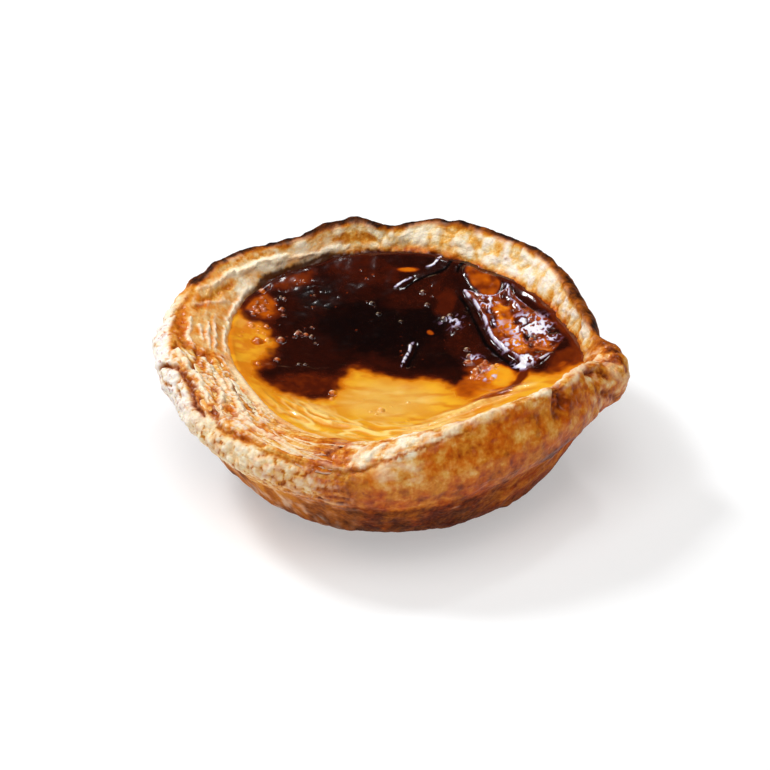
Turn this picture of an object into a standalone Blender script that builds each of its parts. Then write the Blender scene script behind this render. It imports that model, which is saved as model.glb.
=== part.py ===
"""A hand-pressed egg tart: a puff pastry case and the baked custard that fills it.

Lengths are in metres, +Z is up. The origin is the middle of the flat base, on the
surface that the tart stands on. Azimuths are in degrees, counter-clockwise from +X.
"""

import math

import bmesh
import bpy
from mathutils import Vector

MM = 0.001

# The case: a flat round base, a flaring wall and a thick hand-shaped rim.
BASE_RADIUS = 24.2 * MM
BASE_ROUNDING = 3.0 * MM
FLOOR_RADIUS = 20.0 * MM
FLOOR_THICKNESS = 3.0 * MM
NECK_BELOW_EDGE = 4.5 * MM
WALL_BELLY = 0.45 * MM

# The custard: a shallow dish with a skin that baked into folds.
CLEARANCE = 0.45 * MM
DISH_DEPTH = 2.3 * MM
MIDDLE_HEIGHT = 18.4 * MM

AZIMUTH_STEPS = 84
CUSTARD_RINGS = 21
SECTION_STEPS = 3

# The course of the rim, one row for each change in its shape.
# azimuth: (edge radius, edge height, crest radius, crest height, custard radius, custard height,
#           how far the neck is drawn in, how full the rim is between crest and custard), in mm.
RIM_COURSE = {
    -120: (38.0, 16.4, 35.8, 20.2, 25.2, 17.8, 3.4, 0.8),
    -100: (36.8, 15.6, 35.2, 19.8, 25.2, 17.8, 2.0, 2.2),
    -80: (35.6, 15.5, 33.4, 22.6, 26.2, 17.8, 1.6, 3.0),
    -58: (34.2, 15.5, 31.6, 24.1, 27.2, 18.0, 1.8, 3.0),
    -40: (34.2, 15.6, 32.8, 24.0, 28.2, 18.2, 2.0, 3.2),
    -20: (35.8, 16.8, 34.4, 23.2, 29.8, 18.4, 3.0, 2.8),
    -8: (38.9, 17.6, 37.2, 21.8, 31.2, 18.6, 4.4, 1.6),
    2: (36.0, 19.4, 34.0, 22.6, 31.4, 18.7, 2.6, 0.8),
    22: (35.4, 20.4, 33.4, 22.8, 30.8, 18.8, 2.0, 0.6),
    45: (39.0, 21.0, 36.8, 23.6, 31.6, 19.4, 2.0, 0.6),
    64: (40.4, 21.4, 38.2, 24.0, 32.6, 19.8, 2.0, 0.6),
    80: (40.4, 21.2, 38.4, 24.2, 33.6, 20.2, 2.0, 0.6),
    91: (38.6, 21.0, 36.8, 23.4, 33.6, 20.2, 2.0, 0.6),
    99: (39.8, 22.0, 38.0, 24.8, 33.4, 20.2, 2.0, 0.6),
    120: (37.4, 21.6, 35.6, 23.8, 32.4, 20.0, 2.0, 0.6),
    136: (39.6, 21.6, 37.6, 23.8, 31.4, 19.8, 2.0, 0.6),
    148: (39.8, 21.0, 37.6, 23.4, 30.4, 19.4, 2.0, 0.6),
    160: (39.4, 20.8, 37.0, 23.0, 28.8, 18.8, 2.0, 0.6),
    180: (39.2, 19.4, 36.6, 22.2, 26.2, 18.4, 2.4, 0.6),
    200: (37.6, 18.2, 35.2, 21.6, 24.6, 18.0, 3.0, 0.6),
    220: (38.0, 17.4, 35.4, 21.0, 24.6, 17.8, 3.6, 0.6),
}

# The custard's relief, as places (x, y) in mm on the plan.
BLISTER = {"at": (15.6, 24.6), "radius": 4.0, "height": 1.5}
SKIN_FOLDS = (
    {"path": ((12.4, 29.0), (11.4, 22.6), (14.2, 17.6), (17.0, 6.3), (21.6, -2.2)), "height": 1.4, "width": 1.3},
    {"path": ((19.0, 25.6), (20.4, 19.6), (24.0, 11.6), (27.2, 8.8)), "height": 1.2, "width": 1.4},
    {"path": ((0.6, 23.4), (3.4, 26.8), (8.6, 31.4)), "height": 1.1, "width": 1.3},
    {"path": ((3.9, 8.8), (1.8, 0.2)), "height": 0.9, "width": 1.3},
)
FRONT_PLEATS = {"from": 228.0, "to": 318.0, "fade": 16.0, "pitch": 2.6, "count": 3, "height": 0.42}

COLOURS = {
    "puff_pastry": ((0.72, 0.42, 0.16), 0.55),
    "baked_custard": ((0.78, 0.42, 0.06), 0.28),
}


def clear_scene():
    for obj in list(bpy.data.objects):
        bpy.data.objects.remove(obj, do_unlink=True)


def rim_at(azimuth):
    """The row of RIM_COURSE at any azimuth, in metres, on a smooth closed curve through the rows."""
    stops = sorted(stop % 360 for stop in RIM_COURSE)
    rows = {stop % 360: row for stop, row in RIM_COURSE.items()}
    azimuth %= 360
    index = max((i for i, stop in enumerate(stops) if stop <= azimuth), default=-1)

    def stop_and_row(i):
        turns, place = divmod(i, len(stops))
        return stops[place] + 360 * turns, rows[stops[place]]

    (s0, r0), (s1, r1), (s2, r2), (s3, r3) = (stop_and_row(index + k) for k in (-1, 0, 1, 2))
    span = s2 - s1
    t = (azimuth - s1) / span
    weights = (2 * t**3 - 3 * t**2 + 1, t**3 - 2 * t**2 + t, 3 * t**2 - 2 * t**3, t**3 - t**2)
    smooth = []
    for before, here, there, after in zip(r0, r1, r2, r3):
        slope_here = (there - before) / (s2 - s0) * span
        slope_there = (after - here) / (s3 - s1) * span
        parts = (here, slope_here, there, slope_there)
        smooth.append(MM * sum(w * p for w, p in zip(weights, parts)))
    return smooth


def curve_through(knots, steps):
    """Points on a Catmull-Rom curve through the knots, with the given steps to each span."""
    knots = [Vector(knot) for knot in knots]
    ends = [knots[0], *knots, knots[-1]]
    points = []
    for p0, p1, p2, p3 in zip(ends, ends[1:], ends[2:], ends[3:]):
        for step in range(steps):
            t = step / steps
            linear = (p2 - p0) * t
            square = (2 * p0 - 5 * p1 + 4 * p2 - p3) * t**2
            cube = (3 * p1 - p0 - 3 * p2 + p3) * t**3
            points.append((2 * p1 + linear + square + cube) / 2)
    return [*points, knots[-1]]


def outer_section(azimuth):
    """The case's outside at one azimuth, as (radius, height) from the base's edge over the crest to the custard."""
    edge_r, edge_z, crest_r, crest_z, custard_r, custard_z, drawn_in, fullness = rim_at(azimuth)
    neck_r, neck_z = edge_r - drawn_in, edge_z - NECK_BELOW_EDGE
    foot_r = BASE_RADIUS + BASE_ROUNDING * 0.3

    def on_wall(share):
        belly = WALL_BELLY * math.sin(math.pi * share)
        return foot_r + (neck_r - foot_r) * share + belly, neck_z * share

    return curve_through(
        [
            (BASE_RADIUS - BASE_ROUNDING, 0.0),
            (BASE_RADIUS - BASE_ROUNDING * 0.13, BASE_ROUNDING * 0.25),
            on_wall(0.36),
            on_wall(0.7),
            (neck_r, neck_z),
            (edge_r, edge_z),
            (crest_r, crest_z),
            ((crest_r + custard_r) / 2, (crest_z + custard_z) / 2 + fullness),
            (custard_r, custard_z),
        ],
        SECTION_STEPS,
    )


def around_axis(sections):
    """Turns one section for each azimuth into rings of points, one ring for each point of the sections."""
    rings = []
    for row in zip(*sections):
        ring = []
        for step, (radius, height) in enumerate(row):
            angle = math.tau * step / len(row)
            ring.append(Vector((radius * math.cos(angle), radius * math.sin(angle), height)))
        rings.append(ring)
    return rings


def loft(name, rings):
    """A closed mesh object through the rings, which run from the lower middle outwards and back to the upper middle."""
    shell = bmesh.new()
    loops = [[shell.verts.new(point) for point in ring] for ring in rings]
    count = len(loops[0])
    for lower, upper in zip(loops, loops[1:]):
        for i in range(count):
            j = (i + 1) % count
            shell.faces.new((lower[i], lower[j], upper[j], upper[i]))
    for loop, turned in ((loops[0], True), (loops[-1], False)):
        middle = shell.verts.new(sum((v.co for v in loop), Vector()) / count)
        for i in range(count):
            corners = [loop[i], loop[(i + 1) % count], middle]
            shell.faces.new(corners[::-1] if turned else corners)
    mesh = bpy.data.meshes.new(name)
    shell.to_mesh(mesh)
    shell.free()
    mesh.shade_smooth()
    return bpy.data.objects.new(name, mesh)


def azimuths():
    return [360 * step / AZIMUTH_STEPS for step in range(AZIMUTH_STEPS)]


def distance_to_path(place, path):
    """How far a plan point is from a path, and the share of the path at its nearest point."""
    best, share = math.inf, 0.0
    spans = len(path) - 1
    for index in range(spans):
        start, end = Vector(path[index]), Vector(path[index + 1])
        along = end - start
        t = max(0.0, min(1.0, (place - start).dot(along) / along.length_squared))
        gap = (place - start - along * t).length
        if gap < best:
            best, share = gap, (index + t) / spans
    return best, share


def custard_relief(x, y, azimuth, from_edge):
    """The height of the skin's folds, blister and pleats above the plain dish, in metres."""
    place = Vector((x, y)) / MM
    relief = 0.0
    for fold in SKIN_FOLDS:
        gap, share = distance_to_path(place, fold["path"])
        taper = 0.45 + 0.55 * math.sin(math.pi * share)
        relief += fold["height"] * taper * math.exp(-((gap / fold["width"]) ** 2))
    gap = (place - Vector(BLISTER["at"])).length / BLISTER["radius"]
    relief += BLISTER["height"] * math.sqrt(max(0.0, 1 - gap**2))
    pleats = FRONT_PLEATS
    inside = min(azimuth - pleats["from"], pleats["to"] - azimuth) / pleats["fade"]
    reach = pleats["pitch"] * pleats["count"]
    depth = from_edge / MM
    if inside > 0 and depth < reach:
        wave = math.sin(math.tau * depth / pleats["pitch"]) * math.sin(math.pi * depth / reach)
        relief += pleats["height"] * min(1.0, inside) * wave
    return relief * MM


def custard_section(azimuth):
    """The custard at one azimuth, from the floor up its side and in over the top to the middle."""
    custard_r, custard_z = rim_at(azimuth)[4:6]
    edge_r = custard_r - CLEARANCE
    floor_r, floor_z = FLOOR_RADIUS - CLEARANCE, FLOOR_THICKNESS + CLEARANCE
    side = [(floor_r + (edge_r - floor_r) * t, floor_z + (custard_z - floor_z) * t) for t in (0.0, 0.5)]
    angle = math.radians(azimuth)
    top = []
    for ring in range(CUSTARD_RINGS):
        share = 1 - ring / CUSTARD_RINGS
        radius = edge_r * share
        plain = MIDDLE_HEIGHT + (custard_z - MIDDLE_HEIGHT) * share**2 - DISH_DEPTH * (1 - share**2)
        x, y = radius * math.cos(angle), radius * math.sin(angle)
        settled = min(1.0, (edge_r - radius) / (2 * MM))
        top.append((radius, plain + settled * custard_relief(x, y, azimuth, edge_r - radius)))
    return side + top


def make_case():
    sections = []
    for azimuth in azimuths():
        outside = outer_section(azimuth)
        lip = outside[-1]
        inner_wall = [lip.lerp(Vector((FLOOR_RADIUS, FLOOR_THICKNESS)), t) for t in (0.5, 1.0)]
        sections.append([*outside, *inner_wall])
    return loft("pastry_case", around_axis(sections))


def make_custard():
    return loft("custard", around_axis([custard_section(azimuth) for azimuth in azimuths()]))


def make_material(name):
    colour, roughness = COLOURS[name]
    material = bpy.data.materials.new(name)
    material.use_nodes = True
    shader = material.node_tree.nodes["Principled BSDF"]
    shader.inputs["Base Color"].default_value = (*colour, 1.0)
    shader.inputs["Roughness"].default_value = roughness
    shader.inputs["Metallic"].default_value = 0.0
    return material


def main():
    clear_scene()
    tart = bpy.data.collections.new("egg_tart")
    bpy.context.scene.collection.children.link(tart)
    for piece, finish in ((make_case(), "puff_pastry"), (make_custard(), "baked_custard")):
        piece.data.materials.append(make_material(finish))
        tart.objects.link(piece)


main()
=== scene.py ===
import itertools
import math
from types import SimpleNamespace

import bpy
import numpy as np
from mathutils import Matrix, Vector
from mathutils.bvhtree import BVHTree


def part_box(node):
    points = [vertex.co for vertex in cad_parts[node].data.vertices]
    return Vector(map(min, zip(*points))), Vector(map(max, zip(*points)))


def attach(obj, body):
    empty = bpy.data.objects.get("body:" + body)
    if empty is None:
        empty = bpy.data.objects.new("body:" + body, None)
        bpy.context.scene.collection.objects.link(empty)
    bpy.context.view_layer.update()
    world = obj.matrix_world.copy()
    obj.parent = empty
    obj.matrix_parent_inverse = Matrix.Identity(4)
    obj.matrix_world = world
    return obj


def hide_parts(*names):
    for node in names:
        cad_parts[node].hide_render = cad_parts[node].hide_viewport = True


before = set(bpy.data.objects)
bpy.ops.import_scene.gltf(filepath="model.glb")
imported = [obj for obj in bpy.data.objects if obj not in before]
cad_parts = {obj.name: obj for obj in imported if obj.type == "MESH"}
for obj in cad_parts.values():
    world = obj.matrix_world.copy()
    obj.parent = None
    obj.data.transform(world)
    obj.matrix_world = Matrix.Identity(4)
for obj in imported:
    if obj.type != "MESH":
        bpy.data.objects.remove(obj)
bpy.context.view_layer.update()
mm = 0.001
print("frame loaded")


def ease(low, high, value):  # 0 below low, 1 above high, smooth between
    share = np.clip((value - low) / (high - low), 0, 1)
    return share * share * (3 - 2 * share)


def bell(value, middle, width):
    return np.exp(-(((value - middle) / width) ** 2))


def turnFrom(azimuth, middle):  # degrees round the tart, -180 to 180
    return (azimuth - middle + 180) % 360 - 180


def arc(azimuth, start, end, fade):  # 1 from start to end round the tart, easing to 0 outside
    half = ((end - start) % 360) / 2
    return 1 - ease(half - fade / 2, half + fade / 2, np.abs(turnFrom(azimuth, start + half)))


def mixed(one, other, share):
    return one + (other - one) * share


def cellKeys(cell, order):  # a repeatable number from 0 to 255 for each cell
    key = 0
    for axis in range(cell.shape[-1]):
        key = order[(key + cell[..., axis]) & 255]
    return key


def noise(points, size, seed, octaves=1, fade=0.5):  # smooth unevenness, about -1 to 1
    pick = np.random.default_rng(seed)
    order = pick.permutation(256)
    slopes = pick.normal(size=(256, points.shape[-1]))
    slopes /= np.linalg.norm(slopes, axis=1, keepdims=True)
    total, strength, whole = 0, 1, 0
    for octave in range(octaves):
        spot = points / size + 17.3 * octave
        cell = np.floor(spot).astype(int)
        part = spot - cell
        bend = part**3 * (part * (part * 6 - 15) + 10)
        for corner in itertools.product((0, 1), repeat=points.shape[-1]):
            step = np.array(corner)
            weight = np.prod(np.where(step == 1, bend, 1 - bend), axis=-1)
            slope = slopes[cellKeys(cell + step, order)]
            total = total + strength * weight * np.sum(slope * (part - step), axis=-1)
        whole += strength
        strength *= fade
        size = size / 2
    return 1.7 * total / whole


def nearestSeed(points, size, seed):  # gap to the nearest scattered seed, in cells, and that seed's number
    pick = np.random.default_rng(seed)
    order = pick.permutation(256)
    offsets = pick.random((256, points.shape[-1]))
    spot = points / size
    home = np.floor(spot).astype(int)
    gap = np.full(points.shape[:-1], 9.0)
    second = gap.copy()
    number = np.zeros(points.shape[:-1], int)
    for step in itertools.product((-1, 0, 1), repeat=points.shape[-1]):
        cell = home + np.array(step)
        key = cellKeys(cell, order)
        reach = np.linalg.norm(cell + offsets[key] - spot, axis=-1)
        second = np.minimum(second, np.maximum(gap, reach))
        number = np.where(reach < gap, key, number)
        gap = np.minimum(gap, reach)
    return gap, second - gap, number


def meshPiece(name, points, faces, finish, masks):
    mesh = bpy.data.meshes.new(name)
    mesh.from_pydata((points * mm).tolist(), [], faces)
    mesh.shade_smooth()
    for mask, values in masks.items():
        values = np.asarray(values, dtype=np.float32)
        if values.ndim == 2:
            mesh.attributes.new(mask, "FLOAT_VECTOR", "POINT").data.foreach_set("vector", values.ravel())
        else:
            mesh.attributes.new(mask, "FLOAT", "POINT").data.foreach_set("value", values)
    piece = bpy.data.objects.new(name, mesh)
    bpy.context.collection.objects.link(piece)
    piece.data.materials.append(finish)
    return piece


# The plain shape of both pieces is read from the frame, in mm.
reading = {"azimuths": 180, "wallStations": 30, "rimStations": 34, "far": 60, "keepWaves": 44}


def treeOf(node):
    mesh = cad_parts[node].data
    return BVHTree.FromPolygons([v.co for v in mesh.vertices], [list(p.vertices) for p in mesh.polygons])


def outwards(azimuth, radius, height):
    angle = math.radians(azimuth)
    return Vector((radius * math.cos(angle), radius * math.sin(angle), height)) * mm


def radiusAt(tree, azimuth, height):  # how far out a node's side is
    way = outwards(azimuth, 1, 0)
    hit = tree.ray_cast(outwards(azimuth, reading["far"], height), -way)[0]
    # a ray over a low rim may hit the far side
    return max(0.0, hit.dot(way.normalized()) / mm) if hit else 0.0


def heightAt(tree, x, y):  # how high a node's top is
    hit = tree.ray_cast(Vector((x, y, reading["far"])) * mm, Vector((0, 0, -1)))[0]
    return hit.z / mm if hit else None


def widest(tree, azimuth, heights):
    radii = [radiusAt(tree, azimuth, height) for height in heights]
    best = int(np.argmax(radii))
    return radii[best], heights[best]


def roundTheTart(values, azimuths):  # the same course, smoothed, at other azimuths
    waves = np.fft.rfft(values, axis=0)[: reading["keepWaves"]] / len(values)
    waves[1:] *= 2
    turns = np.exp(1j * np.radians(np.outer(azimuths, np.arange(len(waves)))))
    return (turns @ waves).real


def along(rows, places):  # a smooth curve through rows, read at fractional places
    low = np.clip(np.floor(places).astype(int), 0, rows.shape[1] - 2)
    t = places - low
    before, here, there, after = (rows[:, np.clip(low + k, 0, rows.shape[1] - 1)] for k in (-1, 0, 1, 2))
    square = 2 * before - 5 * here + 4 * there - after
    cube = 3 * here - before - 3 * there + after
    return (2 * here + (there - before) * t + square * t**2 + cube * t**3) / 2


caseTree, custardTree = treeOf("pastry_case"), treeOf("custard")
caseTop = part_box("pastry_case")[1].z / mm
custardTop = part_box("custard")[1].z / mm


def readCase():
    # one row of (radius, height) for each azimuth, from the base up the wall and in over the rim
    radii, heights, joins = [], [], []
    for azimuth in np.arange(reading["azimuths"]) * 360 / reading["azimuths"]:
        edgeRadius, edgeHeight = widest(caseTree, azimuth, np.arange(8.0, caseTop, 0.3))
        joinRadius, joinHeight = widest(custardTree, azimuth, np.arange(12.0, custardTop, 0.3))
        wall = np.linspace(0.02, edgeHeight, reading["wallStations"])
        # closer together where the rim is steep
        inwards = np.linspace(0, 1, reading["rimStations"])[1:] ** 1.6
        rim = mixed(edgeRadius - 0.05, joinRadius + 0.1, inwards)
        tops = [heightAt(caseTree, *(outwards(azimuth, radius, 0) / mm)[:2]) for radius in rim]
        radii.append([*(radiusAt(caseTree, azimuth, height) for height in wall), *rim])
        heights.append([*wall, *tops])
        joins.append([joinRadius, joinHeight])
    return np.array(radii), np.array(heights, dtype=float), np.array(joins)


caseRadii, caseHeights, custardEdges = readCase()
custardMiddle = heightAt(custardTree, 0, 0)
print("case read from the frame")


def smoothPath(path, steps=6, closed=False):
    knots = np.array(path, float)
    if closed:
        knots = np.concatenate([knots[-1:], knots, knots[:2]])
    else:
        knots = np.concatenate([2 * knots[:1] - knots[1:2], knots, 2 * knots[-1:] - knots[-2:-1]])
    spans = len(knots) - 3
    places = 1 + np.arange(spans * steps + 1) / steps
    return along(knots.T, np.minimum(places, len(knots) - 2)).T


def gapToPath(x, y, path):
    # distance to a path, the share of its length there, and which side: above 0 is the right-hand side
    gap = np.full(x.shape, 1e9)
    share, side = np.zeros(x.shape), np.zeros(x.shape)
    spans = len(path) - 1
    for index in range(spans):
        start, run = path[index], path[index + 1] - path[index]
        dx, dy = x - start[0], y - start[1]
        t = np.clip((dx * run[0] + dy * run[1]) / (run @ run + 1e-12), 0, 1)
        here = np.hypot(dx - t * run[0], dy - t * run[1])
        near = here < gap
        gap = np.where(near, here, gap)
        share = np.where(near, (index + t) / spans, share)
        side = np.where(near, dx * run[1] - dy * run[0], side)
    return gap, share, np.sign(side)


def depthInside(x, y, outline):  # mm inside a closed outline, less than 0 outside it
    path = smoothPath(outline, closed=True)
    gap = gapToPath(x, y, path)[0]
    inside = np.zeros(x.shape, bool)
    for (x0, y0), (x1, y1) in zip(path[:-1], path[1:]):
        if y0 != y1:
            crosses = ((y0 > y) != (y1 > y)) & (x < (x1 - x0) * (y - y0) / (y1 - y0) + x0)
            inside ^= crosses
    return np.where(inside, gap, -gap)


pastry = {
    "columns": 900,  # points round the tart
    "finerLeft": 0.6,  # how much closer together the columns stand on the flaky side
    "wallRows": 41,  # points up the wall
    "rimRows": 64,  # points over the rim to the custard
    "flakySide": (150, 260),  # azimuths, going round from the left to the front
    "rolledSide": (260, 345),
    "tip": 350,
    # where the torn pale crest of the rolled side begins: azimuths, and mm from the outer edge
    "crestFrom": ((250, 256, 267, 277, 292, 302, 318, 332), (2.6, 3.4, 5.3, 6.7, 8.5, 9.1, 8.8, 9.4)),
    "charred": [(99, 7, 1.0), (110, 6, 0.6), (82, 6, 0.5), (137, 5, 0.6), (150, 4, 0.9), (62, 7, 0.15)],
    # ridges and furrows: course as (azimuth, mm from the outer edge), half width, lift, toast, cream, gap; a
    # furrow's darker toast and gap are partly painted shade
    "marks": [
        ([(187, 0.8), (190, 3.0), (194, 4.4), (199, 4.6), (204, 4.1), (210, 3.3), (215, 3.2)],
         0.55, -0.95, 0.80, 0.0, 0.75),
        ([(189, 1.0), (193, 0.9), (197, 1.5)], 0.3, -0.5, 0.7, 0.0, 0.5),
        ([(196, 4.4), (199, 2.6), (203, 2.0)], 0.35, -0.5, 0.64, 0.0, 0.4),
        ([(201, 4.4), (204, 5.5), (208, 5.2)], 0.4, -0.6, 0.7, 0.0, 0.4),
        ([(213, 5.4), (216, 4.8), (220, 4.0)], 0.75, -0.8, 0.66, 0.0, 0.5),
        ([(162, 3.6), (167, 4.3), (172, 5.4), (180, 6.8)], 1.1, -0.60, 0.58, 0.0, 0.1),
        ([(168, 8.2), (171, 8.9), (175, 9.6)], 0.28, 0.30, 0.08, 1.0, 0.0),
        ([(167, 9.4), (170, 10.1), (175, 11.0)], 0.26, 0.30, 0.08, 1.0, 0.0),
        ([(179, 6.6), (182, 6.2), (183, 8.4), (187, 10.6)], 0.95, -0.6, 0.64, 0.0, 0.35),
        ([(188, 7.6), (192, 7.2), (198, 8.3)], 0.7, -0.5, 0.60, 0.0, 0.3),
        ([(202, 12.0), (207, 13.1), (212, 13.2), (217, 12.4), (222, 11.2)], 0.85, -0.65, 0.64, 0.0, 0.4),
        ([(196, 11.9), (200, 13.0)], 0.7, -0.5, 0.60, 0.0, 0.3),
        ([(212, 8.4), (217, 7.2), (222, 6.0)], 0.95, -0.5, 0.50, 0.0, 0.15),
        ([(205, 8.2), (209, 7.4)], 0.8, -0.5, 0.62, 0.0, 0.3),
        ([(220, 3.3), (225, 3.8), (230, 4.3), (236, 5.0)], 0.60, -0.45, 0.56, 0.0, 0.25),
        ([(234, 3.9), (240, 4.0), (246, 3.6), (252, 3.3), (258, 3.5), (262, 4.1)],
         0.50, -0.40, 0.54, 0.0, 0.3),
        ([(247, 6.5), (251, 6.0), (254, 5.8), (257, 5.3), (260, 4.8)], 0.85, -0.2, 0.47, 0.0, 0.05),
        ([(233, 6.6), (240, 6.1), (248, 5.8), (255, 6.2)], 0.50, -0.55, 0.58, 0.0, 0.35),
        ([(230, 9.6), (238, 9.4), (246, 9.3), (253, 9.4)], 0.45, -0.45, 0.52, 0.0, 0.25),
        ([(250, 5.2), (253, 7.4), (256.5, 10.2)], 0.42, -0.7, 0.66, 0.0, 0.6),
        ([(254, 8.6), (256.5, 6.8), (259, 5.0)], 1.5, -0.1, 0.52, 0.0, 0.05),
        ([(259.0, 4.4), (260.4, 7.0), (263.4, 9.2)], 0.28, 0.22, 0.18, 0.6, 0.0),
        ([(262, 4.4), (264.6, 7.0), (269, 9.4)], 0.55, 0.40, 0.08, 1.0, 0.0),
        ([(268, 7.0), (273.4, 8.2), (281, 9.8)], 0.45, 0.30, 0.12, 0.9, 0.0),
        ([(260, 3.6), (266, 5.2), (275, 6.9), (284, 8.0), (294, 8.7)], 0.26, -0.26, 0.54, 0.0, 0.35),
        ([(284, 9.6), (293, 10.1), (303, 10.6)], 0.30, 0.22, 0.20, 0.7, 0.0),
        ([(300, 9.0), (308, 9.6), (317, 9.4)], 0.6, 0.15, 0.44, 0.0, 0.0),
        ([(163, 6.2), (157, 6.9), (150, 7.6), (144, 8.2)], 0.8, -0.3, 0.50, 0.0, 0.1),
        ([(137, 4.6), (131, 5.0), (125, 4.7)], 0.9, -0.1, 0.50, 0.0, 0.0),
        ([(107, 6.2), (99, 7.0), (94, 6.6)], 1.1, -0.15, 0.56, 0.0, 0.0),
        ([(116, 2.8), (107, 3.3), (99, 3.6), (92, 3.8)], 0.8, 0.1, 0.95, 0.0, 0.0),
        # two pale ridges at the back left, their cream partly a painted highlight streak
        ([(148, 6.1), (138, 6.8), (130, 6.1), (122, 5.6)], 0.55, 0.35, 0.05, 0.95, 0.0),
        ([(116, 6.6), (109, 7.7), (102, 8.2)], 0.5, 0.30, 0.05, 0.95, 0.0),
        ([(155, 4.4), (149, 6.2), (142, 6.1), (135, 7.1), (128, 6.5), (121, 6.2), (114, 6.9)],
         0.50, 0.38, 0.16, 0.7, 0.0),
        ([(161, 12.4), (157, 11.5), (150, 11.5), (144, 10.7), (138, 10.2)], 0.50, 0.35, 0.12, 0.95, 0.0),
        ([(186, 14.0), (198, 15.1), (210, 15.2), (222, 14.0)], 1.15, 0.25, 0.20, 0.45, 0.0),
        ([(187, 9.2), (194, 10.1), (202, 10.0), (208, 8.8), (214, 6.6), (219, 5.0)],
         0.42, 0.5, 0.14, 0.9, 0.0),
        ([(184, 5.0), (190, 5.6), (197, 6.4), (205, 5.8), (212, 5.2)], 0.40, 0.5, 0.16, 0.9, 0.0),
        ([(196, 12.0), (203, 11.2), (211, 10.6), (218, 9.4), (226, 8.2)], 0.40, 0.5, 0.16, 0.85, 0.0),
        ([(198, 6.8), (200, 9.6)], 0.32, 0.45, 0.15, 0.8, 0.0),
        ([(216, 9.2), (223, 7.4), (231, 7.4), (240, 7.4)], 0.36, 0.45, 0.18, 0.8, 0.0),
        ([(165, 9.0), (172, 10.2), (179, 11.0)], 0.26, 0.36, 0.18, 0.9, 0.0),
        ([(163, 10.1), (170, 11.2), (178, 12.0)], 0.24, 0.36, 0.18, 0.9, 0.0),
        ([(161, 11.9), (168, 12.9), (177, 13.6)], 0.32, 0.38, 0.16, 0.9, 0.0),
        ([(161, 5.6), (157, 7.2), (152, 9.2), (150, 10.4)], 0.30, 0.18, 0.22, 0.45, 0.0),
        ([(166, 6.3), (171, 6.9), (176, 7.0), (180, 8.3)], 0.32, 0.32, 0.18, 0.8, 0.0),
        ([(326.4, 11.0), (324.4, 8.4), (322.8, 5.6)], 1.0, -1.3, 0.84, 0.0, 0.6),
        ([(322.6, 9.4), (321.0, 7.0), (319.6, 5.0)], 0.8, -0.6, 0.78, 0.0, 0.4),
        ([(330, 8.2), (329.4, 6.6), (330.6, 4.6)], 0.45, -0.35, 0.66, 0.0, 0.2),
        ([(336.4, 7.4), (340.6, 6.6), (343, 4.2)], 0.65, -0.8, 0.80, 0.0, 0.5),
        ([(339, 3.4), (344, 1.0), (347, -1.2)], 0.6, -0.6, 0.74, 0.0, 0.35),
        ([(349, 7.0), (350.6, 4.6), (349.0, 2.6)], 0.6, -0.55, 0.76, 0.0, 0.3),
        ([(355, 5.4), (354, 3.4), (355.6, 1.0)], 0.5, -0.4, 0.72, 0.0, 0.3),
        ([(331, 10.2), (337, 9.4), (344, 9.0), (352, 8.2)], 0.8, 0.35, 0.20, 0.6, 0.0),
        ([(344.6, 5.6), (346.6, 3.0), (351, 1.4)], 0.6, 0.35, 0.36, 0.35, 0.0),
        ([(315, 7.4), (314, 5.4)], 0.45, -0.4, 0.62, 0.0, 0.2),
    ],
    "baseRing": 0.9,  # the ring inside the base's edge, as a share of its radius
    "foldedIn": 2.5,  # mm that the skin goes on down behind the custard
    "hiddenRings": ((0.82, 9), (0.72, 3.2)),  # and its way to the floor: shares of the radius, and heights
}
rimRadius = 37  # mm, for unevenness that runs round the tart
perDegree = 0.65  # mm along the rim for each degree round it


def columnAzimuths():
    fine = np.arange(3600) / 10
    closeness = 1 + pastry["finerLeft"] * arc(fine, 148, 300, 20)
    share = np.cumsum(closeness) / closeness.sum()
    return np.interp(np.arange(pastry["columns"]) / pastry["columns"], share - share[0], fine)


def plainCase():
    # the case as a grid of points, column by row, and where each point lies on it
    look = pastry
    azimuth = columnAzimuths()
    edge = reading["wallStations"] - 1
    last = edge + reading["rimStations"] - 1
    # the sections are first read closely, then at even steps, closer together up the wall towards the rim
    closely = 12
    stops = np.linspace(0, last, closely * last + 1)
    courses = [along(roundTheTart(read, azimuth), stops) for read in (caseRadii, caseHeights)]
    reach = np.zeros_like(courses[0])
    reach[:, 1:] = np.cumsum(np.hypot(*(np.diff(course, axis=1) for course in courses)), axis=1)
    lip = reach[:, closely * edge, None]
    rises = 1 - np.linspace(1, 0, look["wallRows"], endpoint=False) ** 1.35
    over = np.linspace(0, 1, look["rimRows"])
    rows = np.concatenate([lip * rises, lip + (reach[:, -1:] - lip) * over], axis=1)
    radius, height = (
        np.array([np.interp(*three) for three in zip(rows, reach, course)]) for course in courses
    )
    height[:, 0] = 0
    azimuth = azimuth[:, None]
    angle = np.radians(azimuth) + 0 * radius
    points = np.stack([radius * np.cos(angle), radius * np.sin(angle), height], axis=-1)
    distance = rows - lip
    width = distance[:, -1:]
    crest = np.take_along_axis(distance, np.argmax(height, axis=1)[:, None], axis=1)
    flow = np.stack([rimRadius * np.cos(angle), rimRadius * np.sin(angle), distance], axis=-1)
    return SimpleNamespace(
        points=points,
        azimuth=azimuth,
        distance=distance,  # mm along the section: 0 at the outer edge, less down the wall
        fromCrest=distance - crest,
        toCustard=width - distance,
        flow=flow,
        along=flow * [0.22, 0.22, 1],  # for unevenness that runs along the rim
        upright=flow * [1, 1, 0.55],  # for unevenness that runs up the wall
    )


def faceOut(points):  # unit normals of a grid that closes round the tart
    around = np.roll(points, -1, axis=0) - np.roll(points, 1, axis=0)
    up = np.gradient(points, axis=1)
    normals = np.cross(around, up)
    return normals / (np.linalg.norm(normals, axis=-1, keepdims=True) + 1e-9)


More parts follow.
